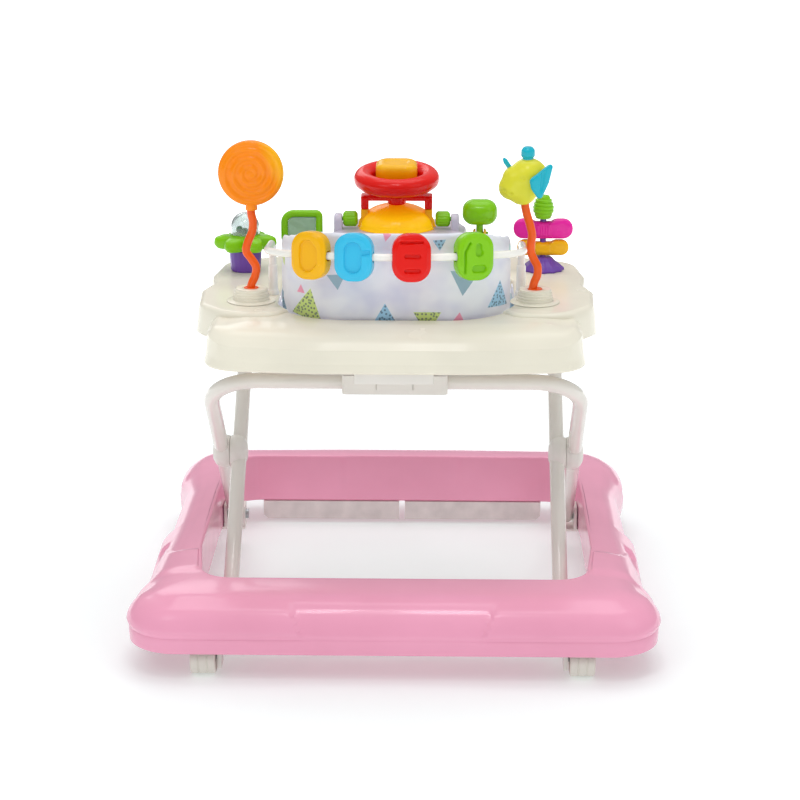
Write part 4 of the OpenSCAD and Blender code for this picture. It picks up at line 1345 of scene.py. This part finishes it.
def play_bar():
    """Bent bar: two posts, two straight sides and a bowed rear stretch, as one swept tube."""
    low = box_of("play_bar")[0]
    side, bend = 152, 45
    spin = math.asin((side - bend) / (BOW_R - bend))
    corner = Vector((side - bend, BOW_BACK - BOW_R + (BOW_R - bend) * math.cos(spin)))
    flat = []
    for k in range(33):
        t = spin * (k / 16 - 1)
        flat.append((BOW_R * math.sin(t), BOW_R * math.cos(t) + BOW_BACK - BOW_R))
    arc = [(corner.x + bend * math.sin(t), corner.y + bend * math.cos(t)) for t in
           (lerp(spin, math.pi / 2, k / 12) for k in range(1, 13))]
    arc += [(side, corner.y - k * (corner.y - 20) / 10) for k in range(1, 11)]
    right = [BAR_FRAME @ Vector((x, -y, 0)) for x, y in arc]
    for t in quarter(9):
        right.append(BAR_FRAME @ Vector((side, -20 + 20 * math.sin(t), -20 + 20 * math.cos(t))))
    foot = right[-1]
    right += [Vector((side, foot.y, lerp(foot.z, low.z + 4, k / 4))) for k in range(1, 5)]
    left = [Vector((-v.x, v.y, v.z)) for v in reversed(right)]
    line = left + [BAR_FRAME @ Vector((x, -y, 0)) for x, y in flat] + right
    sleeve = [(4.6, low.z, 0), (7.4, low.z, 0.5), (7.0, low.z + 5, 1), (5.7, low.z + 7, 1),
              (5.6, foot.z - 8, 1), (4.6, foot.z - 6.5, 0), (4.6, low.z, 0)]
    profile = rounded(sleeve, 3)
    sleeves = [moved(hoop(profile, 40), at(s * side, foot.y, 0)) for s in (-1, 1)]
    piece("letter_bar", [sweep(line, radius=4.5)] + sleeves, "tray", "white_gloss", "play_bar")


LETTERS = {  # pressed strokes of each bead's letter: (x, z, x, z, half width)
    "yellow": [(-1, -9, -1, 9, 9.5), (3, -6, 3, 6, 8.5)],
    "cyan": [(0, -8, 0, 8, 10), (6, 5, 24, 7, 3.0)],
    "red": [(-6, 2, 8, 2, 2.2), (-6, -15, 8, -15, 2.2), (-12, 18, 12, 18, 1.3)],
    "green": [(3, 6, 3, 12, 3.4), (-1, -14, 8, -14, 4.2), (3.5, 4.5, 3.5, 5.5, 4.4),
              (-14, -18, -14, 6, 1.2), (-14, 6, -8, 16, 1.2)],
}


def bead(tone, x, body):
    """Fat rounded bead with a stepped rim and a letter's counters pressed into its faces."""
    w, h, corner, rim_drop, press = 22.5, 28, 19, 1.9, 3.2
    edge = resample(round_box(w, h, corner, 12), 150)

    def relief(px, pz):
        rim = max(abs(px) - (w - corner), 0), max(abs(pz) - (h - corner), 0)
        inside = corner - math.hypot(*rim)
        lift = -rim_drop * smooth(4.4, 3.0, inside)
        cut = 0.0
        for ax, az, bx, bz, r in LETTERS[tone]:
            along = Vector((bx - ax, bz - az))
            t = clamp(Vector((px - ax, pz - az)).dot(along) / max(along.length_squared, 1e-9))
            gap = math.hypot(px - ax - along.x * t, pz - az - along.y * t)
            cut = max(cut, smooth(r + 0.7, r - 0.7, gap))
        return lift - press * cut * smooth(1.5, 4, inside)
    part = pillow(edge, half=10, round_r=4.5, relief=relief, count=34)
    obj = mesh_object(f"letter_bead_{tone}", *moved(part, on_bow(x) @ turn(90, "X")))
    bore = moved(rod(6.1, -40, 40, 32), on_bow(x) @ turn(90, "Y"))
    combine(obj, bore)
    adopt(obj, body, f"{'lime' if tone == 'green' else tone}_plastic", f"bead_{tone}", sharp=50)


play_bar()
BEADS = (("yellow", -97), ("cyan", -46), ("red", 20), ("green", 92))
for number, (tone, x) in enumerate(BEADS):
    bead(tone, x, f"bead_{number + 1}")


# ---- Side toys --------------------------------------------------------------------------
def rattle():
    """Fluted pot, flower collar, clear dome and three loose beads."""
    spot = (-197, 70)
    pot_low, pot_high = heights_of("rattle_pot")
    low, high = heights_of("rattle_collar")

    def flutes(t, r, z):
        return r - 0.4 * smooth(17, 19.5, r) * (0.5 + 0.5 * math.cos(18 * t))
    turned("pot_body", [(0, pot_low, 0), (18.2, pot_low, 1), (19.2, pot_low + 2, 1),
                        (20.8, low - 3.5, 1), (20.8, low - 0.6, 0.8), (4, low - 0.6, 0.3),
                        (4, pot_high - 1, 0.3), (3.4, pot_high, 0.3), (0, pot_high, 0)], spot,
           "tray", "purple_plastic", "rattle_pot", shape=flutes)

    def petals(t, r, z):
        if r < 20:
            return r
        lobe = 0.5 + 0.5 * math.cos(6 * t)
        return r * (1 - 0.40 * (1 - lobe ** 0.6))
    turned("flower_collar", [(0, low, 0), (14, low, 1), (36, low + 1, 2), (40.5, low + 6, 5),
                             (39, high - 5, 5), (30, high - 1.5, 4), (19.5, high - 2.5, 1.5),
                             (19, high, 0.6), (0, high, 0)], spot, "rattle", "lime_plastic",
           "rattle_collar", shape=petals, sharp=55, count=144)
    z0, z1 = heights_of("rattle_dome")
    r, rise, wall = 18.4, 9, 1.6
    outer = [(r, z0), (r, z0 + 6)]
    outer += [(r * math.cos(t), z0 + rise + (z1 - z0 - rise) * math.sin(t)) for t in quarter(14)]
    inner = [(max(0, p - wall), max(z0, z - wall)) for p, z in outer]
    shell = [(0, z1)] + outer[::-1][1:] + inner[:1] + inner[2:]
    piece("clear_dome", moved(lathe(shell, 72), at(*spot, 0)), "rattle", "clear_plastic",
          "rattle_dome", sharp=60)
    beads = []
    for a in (30, 150, 270):
        place = at(*spot, z0 + 5) @ turn(a, "Z") @ at(9, 0, 0) @ turn(40 + a, "X")
        beads.append(moved(ball(4.5, 28, 0.06), place))
    piece("dome_beads", beads, "rattle", "green_plastic", "rattle_beads", sharp=60)


def butterfly():
    """Scalloped foot, two pairs of wings on a peg, and a ribbed head."""
    spot = (184, 82)
    low, high = heights_of("butterfly_base")

    def scallops(t, r, z):
        return r * (1 + 0.04 * math.cos(12 * t)) if r > 10 else r
    turned("butterfly_foot", [(0, low, 0), (26.8, low, 1), (26.8, low + 2.4, 1.6),
                              (22, low + 7, 5), (15, low + 12.5, 5), (11, low + 17, 3),
                              (4, low + 17.4, 0.4), (4, high - 1, 0.3), (3.2, high, 0.3),
                              (0, high, 0)], spot, "tray", "purple_plastic", "butterfly_base",
           shape=scallops, count=144)

    def wings(name, node, slot, reach, lobe, half, ribs):
        z0, z1 = heights_of(node)
        z = (z0 + z1) / 2
        waist = lobe * 0.74
        shape = [(reach, -lobe, lobe * 0.96), (reach, lobe, lobe * 0.96),
                 (reach - 1.9 * lobe, lobe, lobe * 0.8), (reach - 2.1 * lobe, waist, 3)]
        edge = resample(outline(both_halves(shape), 10), 170)

        def pattern(x, y):
            r = math.hypot(abs(x) - (reach - lobe), y)
            ring = 0.9 * smooth(lobe * 0.62, lobe * 0.5, r)
            middle = smooth(9.5, 8.5, abs(x))
            rib = 0.5 + 0.5 * math.cos(math.tau * x / 3.2)
            return -ring + middle * (1.1 + ribs * 0.9 * rib)
        part = pillow(edge, half, round_r=half * 0.62, crown=1.2, relief=pattern, count=30)
        obj = mesh_object(name, *moved(part, at(spot[0], spot[1], z) @ turn(90, "X")))
        bore = moved(rod(4.1, -40, 40, 24), at(*spot, z))
        combine(obj, bore)
        adopt(obj, "butterfly", slot, node, sharp=45)
    wings("lower_wings", "butterfly_lower_wings", "yellow_plastic", 33, 10.1, 6.4, 0)
    wings("upper_wings", "butterfly_wings", "magenta_plastic", 38, 12.7, 7.4, 1)
    low, high = heights_of("butterfly_head")
    corners = [(0, low, 0), (9.5, low, 1)]
    z, widths = low + 3, (11.6, 13.2, 13.4, 12.4, 10.8)
    for w in widths:
        corners += [(w - 1.2, z, 0.6), (w, z + 0.8, 0.7), (w, z + 3.6, 0.7)]
        z += 4.4
    corners += [(8.6, z, 1), (8.2, high - 2, 1), (6.6, high, 1.2), (0, high, 0)]
    turned("beehive_head", corners, spot, "butterfly", "lime_plastic", "butterfly_head")


rattle()
butterfly()


# ---- Toy panel --------------------------------------------------------------------------
STEER = Vector((-4, 104, 517))
WHEEL_FRAME = at(*STEER) @ turn(7, "X")


def beside_wheel(side, near, far):
    """Lower and upper x of a stretch from near to far beside the steering wheel's axis."""
    return sorted((STEER.x + side * near, STEER.x + side * far))


def panel():
    """Rounded housing with a sloped roof, a seam, roller cheeks and a battery opening."""
    low = box_of("toy_panel")[0]
    corners = both_halves([(84, 66, 20), (88, 122, 40), (74, 172, 40)])
    section = [(0.6, low.z), (0, low.z + 0.8), (0, low.z + 5.4), (0.9, low.z + 5.8),
               (0.9, low.z + 6.6), (0.1, low.z + 7), (0.4, 440), (1, 446), (2.6, 449.6),
               (5.4, 451.4), (9, 452), (16, 452)]
    body = mesh_object("panel_housing", *stepped(corners, section))
    for s in (-1, 1):
        x0, x1 = beside_wheel(s, 70, 80.4)
        arch = bent_line([(90.2, 448, 0), (90.2, 471.6, 9), (111.8, 471.6, 9), (111.8, 448, 0)], 8)
        rows = []
        for x, scale in ((x0, 0.92), (x0 + 0.6, 0.975), (x0 + 1.8, 1), (x1 - 1.8, 1),
                         (x1 - 0.6, 0.975), (x1, 0.92)):
            rows.append([Vector((x, 101 + (p.x - 101) * scale, 448 + (p.y - 448) * scale))
                         for p in arch])
        combine(body, rings(rows), "UNION")
    hollow = stepped(corners, [(3, low.z - 5), (3, 447), (6, 449)])
    combine(body, hollow)
    door_low, door_high = box_of("battery_door")
    opening = brick(door_low.x - 0.5, door_high.x + 0.5, 164, 176, door_low.z - 0.5,
                    door_high.z + 0.5, 0.8)
    combine(body, opening)
    tidy(body)
    adopt(body, "tray", "panel_plastic", "toy_panel", sharp=32)
    grip = brick(-12, 12, -1.2, 0.6, -1.6, 1.6, 0.5)
    centre = (door_low + door_high) / 2
    parts = [brick(door_low.x, door_high.x, door_low.y, door_high.y, door_low.z, door_high.z, 0.6)]
    for k in (-1, 0, 1):
        parts.append(moved(grip, at(centre.x, door_high.y + 0.2, centre.z + 7 + k * 3)))
    screw = lathe([(0, 0), (3.4, 0), (3.4, 0.7), (2.6, 1.1), (0, 1.1)], 28)
    parts.append(moved(screw, at(centre.x, door_high.y, centre.z - 9) @ turn(-90, "X")))
    piece("battery_cover", parts, "tray", "panel_plastic", "battery_door", sharp=35)


def steering():
    """Fat rim with finger grips and a dished boss, the horn, and the yoke that carries them."""
    radius, fat, around, across = 43, 12, 160, 32
    rows = []
    for i in range(around):
        t = math.tau * i / around
        grip = 0.5 + 0.5 * math.cos(14 * t)
        ring = []
        for k in range(across):
            a = math.tau * k / across
            r = fat - 0.55 * grip * smooth(0.1, -0.7, math.sin(a))
            seam = 0.35 * smooth(0.10, 0.0, abs(math.sin(a))) * (math.cos(a) > 0)
            out = radius + (r - seam) * math.cos(a)
            ring.append(Vector((out * math.cos(t), out * math.sin(t), r * math.sin(a))))
        rows.append(ring)
    rim = rings(rows, loop=True)
    boss = [(0, -32, 0), (5, -32, 0.8), (5, -17, 0.6), (12, -17, 1.2), (12.5, -10.2, 1),
            (34.5, -8.6, 0.8), (34.5, -3.6, 0.8), (20, -3.2, 1), (19, -4.4, 0.6),
            (3.2, -4.4, 0.3), (3.2, -16, 0.3), (0, -16, 0)]
    hub = lathe(rounded(boss, 4), 96)
    piece("wheel_rim", [moved(rim, WHEEL_FRAME), moved(hub, WHEEL_FRAME)], "wheel",
          "red_plastic", "steering_wheel", sharp=45)
    edge = resample(round_box(26.5, 21, 13), 128)

    def dished(x, y):
        r = math.hypot(x / 17, y / 13)
        return -1.1 * smooth(1.0, 0.8, r)
    block = pillow(edge, half=10.7, round_r=6, crown=0.8, relief=dished, count=26)
    stem = rod(2.9, -11, 2, 28)
    piece("horn_block", [moved(block, WHEEL_FRAME @ at(0, 0, 11.3)), moved(stem, WHEEL_FRAME)],
          "horn", "yellow_plastic", "horn_button", sharp=50)
    foot, top = heights_of("panel_yoke")[0], STEER.z - 23.5
    split = top - 16
    parts = [moved(brick(-46, 46, -9, 9, -28, -22, 1.6), WHEEL_FRAME),
             moved(ring_collar(12, 5.06, -33, -23), WHEEL_FRAME)]
    columns = []
    for s in (-1, 1):
        x0, x1 = beside_wheel(s, 36, 46)
        parts.append(brick(x0, x1, STEER.y - 7, STEER.y + 7, split, top, 2))
        columns.append(brick(x0, x1, STEER.y - 7, STEER.y + 7, foot, split - 0.1, 0.8))
    piece("wheel_yoke", parts, "tray", "red_plastic", "panel_yoke", sharp=40)
    piece("yoke_columns", columns, "tray", "yellow_plastic", "panel_yoke", sharp=40)


def dome():
    """Ribbed dome over the panel's works, open where the yoke's legs pass."""
    low, high = box_of("panel_dome")
    centre = Vector(((low.x + high.x) / 2, (low.y + high.y) / 2, low.z))
    wider, rim, wall = 4.5, 2.4, 3.2
    r, h = (high.x - low.x) / 2 + wider, high.z - low.z
    outer = [(r, 0), (r, 1.2), (r - 1, rim)]
    outer += [((r - 1) * math.cos(t), rim + (h - rim) * math.sin(t)) for t in quarter(22)]

    def ribs(t, q, z):
        return q - 0.6 * smooth(0.93, 1.0, abs(math.sin(5 * t))) * smooth(2.5, 5, z) \
            * smooth(2, 9, q)
    body = mesh_object("dome_cover", *moved(lathe([(0, 0)] + outer, 144, ribs), at(*centre)))
    inner = [(0, -3), (r - wall, -3)]
    inner += [((r - wall) * math.cos(t), (h - 3) * math.sin(t)) for t in quarter(12, 0)]
    combine(body, moved(lathe(inner, 96), at(*centre)))
    for s in (-1, 1):
        x0, x1 = beside_wheel(s, 35.4, 56)
        slot = brick(x0, x1, STEER.y - 7.6, STEER.y + 7.6, low.z - 4, 500, 1)
        combine(body, slot)
    tidy(body)
    adopt(body, "tray", "yellow_plastic", "panel_dome", sharp=40)
    # The amber cover gets a weak orange emission: painted glow that stands in for light shining
    # through it.
    amber = plastic("amber_cover_painted_glow", srgb(255, 202, 20))
    glow = amber.node_tree.nodes["Principled BSDF"].inputs
    glow["Emission Color"].default_value = srgb(255, 180, 0)
    glow["Emission Strength"].default_value = 0.3
    body.data.materials[0] = amber


def rollers():
    """Two knurled rollers on pins at the sides of the dome."""
    low, high = box_of("panel_rollers")
    z, y = (low.z + high.z) / 2, (low.y + high.y) / 2

    def knurl(t, r, z):
        return r - 0.7 * (0.5 + 0.5 * math.cos(16 * t)) * smooth(7, 8.5, r)
    profile = rounded([(0, -9.5, 0), (6.5, -9.5, 1), (10, -7, 3), (10, 7, 3),
                       (6.5, 9.5, 1), (0, 9.5, 0)], 5)
    pin = rod(2.9, -1, 18, 24)
    parts = []
    for s in (-1, 1):
        parts.append(moved(lathe(profile, 96, knurl), at(STEER.x + s * 59.5, y, z)
                           @ turn(90, "Y")))
        parts.append(moved(pin, at(STEER.x + s * 60, y, z) @ turn(90 * s, "Y")))
    piece("knurled_rollers", parts, "rollers", "lime_plastic", "panel_rollers", sharp=45)


panel()
steering()
dome()
rollers()


# ---- Mirror and gear lever --------------------------------------------------------------
def mirror():
    """Rounded frame, a wavy pane and a turned foot."""
    low, high = box_of("mirror_frame")
    middle = (low + high) / 2
    w, h = (high.x - low.x) / 2, (high.z - low.z) / 2
    shape = [(w, -h, 10), (w, h, 9), (-w, h, 17), (-w, -h, 10)]
    rows, count = [], 132
    section = [(0, 0), (0.3, 2.6), (1.8, 4.8), (3.8, 5.4), (6.4, 4.4), (8.6, 2.2), (9, 0.8),
               (9, -0.8), (8.6, -2.2), (6.4, -4.4), (3.8, -5.4), (1.8, -4.8), (0.3, -2.6)]
    for d, z in section:
        rows.append([Vector((p.x, p.y, z)) for p in resample(outline(inset(shape, d), 9), count)])
    place = at(*middle) @ turn(90, "X")
    piece("mirror_rim", moved(rings(rows, loop=True), place), "mirror", "lime_plastic",
          "mirror_frame", sharp=60)
    edge = resample(outline(inset(shape, 9.1), 9), 110)

    def facets(x, y):
        return 0.35 * math.sin(0.22 * x + 0.1 * y) * math.cos(0.2 * y)
    pane = pillow(edge, half=1.4, round_r=0.8, crown=0.5, relief=facets, count=16)
    piece("mirror_glass", moved(pane, place), "mirror", "smoked_plastic", "mirror_pane", sharp=60)
    z0, z1 = heights_of("mirror_stand")
    x, y = middle.x, middle.y
    turned("mirror_foot", [(0, z0, 0), (15, z0, 0.6), (15, z0 + 2.4, 1.2), (11, z0 + 5, 2),
                           (8.2, z0 + 8, 3), (7, low.z - 5, 4), (8.4, low.z - 1.6, 1),
                           (8, low.z - 0.6, 0.5), (3, low.z - 0.6, 0.3), (3, z1, 0.5),
                           (0, z1, 0)], (x, y), "tray", "lime_plastic", "mirror_stand")


def gear():
    """Ribbed boot with a slot, and a lever with a flat rounded knob."""
    low, high = box_of("gear_boot")
    x, y = (low.x + high.x) / 2, (low.y + high.y) / 2
    corners = [(0, low.z, 0), (15, low.z, 0.8), (15, low.z + 2.4, 1)]
    z, r = low.z + 3, 14.6
    while z < high.z - 9:
        corners += [(r - 1.4, z, 0.8), (r, z + 1.7, 1.2), (r - 1.4, z + 3.4, 0.8)]
        z, r = z + 3.6, r - 0.42
    corners += [(r - 1.4, high.z - 2, 1), (r - 2.4, high.z, 1), (0, high.z, 0)]
    profile = rounded(corners, 4)
    body = mesh_object("gear_gaiter", *moved(lathe(profile, 80), at(x, y, 0)))
    slot = brick(x - 5.2, x + 5.2, y - 20, y + 20, 437.8, high.z + 5, 1)
    combine(body, slot)
    adopt(body, "tray", "yellow_plastic", "gear_boot", sharp=40)
    k_low, k_high = box_of("gear_lever")
    w, d = (k_high.x - k_low.x) / 2, (k_high.y - k_low.y) / 2
    edge = resample(round_box(w, 16.2, 14), 120)

    def lines(px, pz):
        return -0.7 * smooth(1.2, 0.5, abs(abs(px) - 12)) * smooth(11, 7, abs(pz))
    knob = pillow(edge, half=d, round_r=d * 0.86, crown=0.4, relief=lines, count=22)
    neck = rounded([(0, 0, 0), (4.5, 0, 0.5), (4.5, 14, 1), (6.4, 18, 2), (0, 20, 0)], 4)
    parts = [moved(knob, at(x, y, k_high.z - 16.2) @ turn(90, "X")),
             moved(lathe(neck, 40), at(x, y, 447))]
    parts.append(moved(rod(2.5, -11, 11, 28), at(x, y, 447) @ turn(90, "Y")))
    piece("gear_knob", parts, "gear", "lime_plastic", "gear_lever", sharp=50)


mirror()
gear()
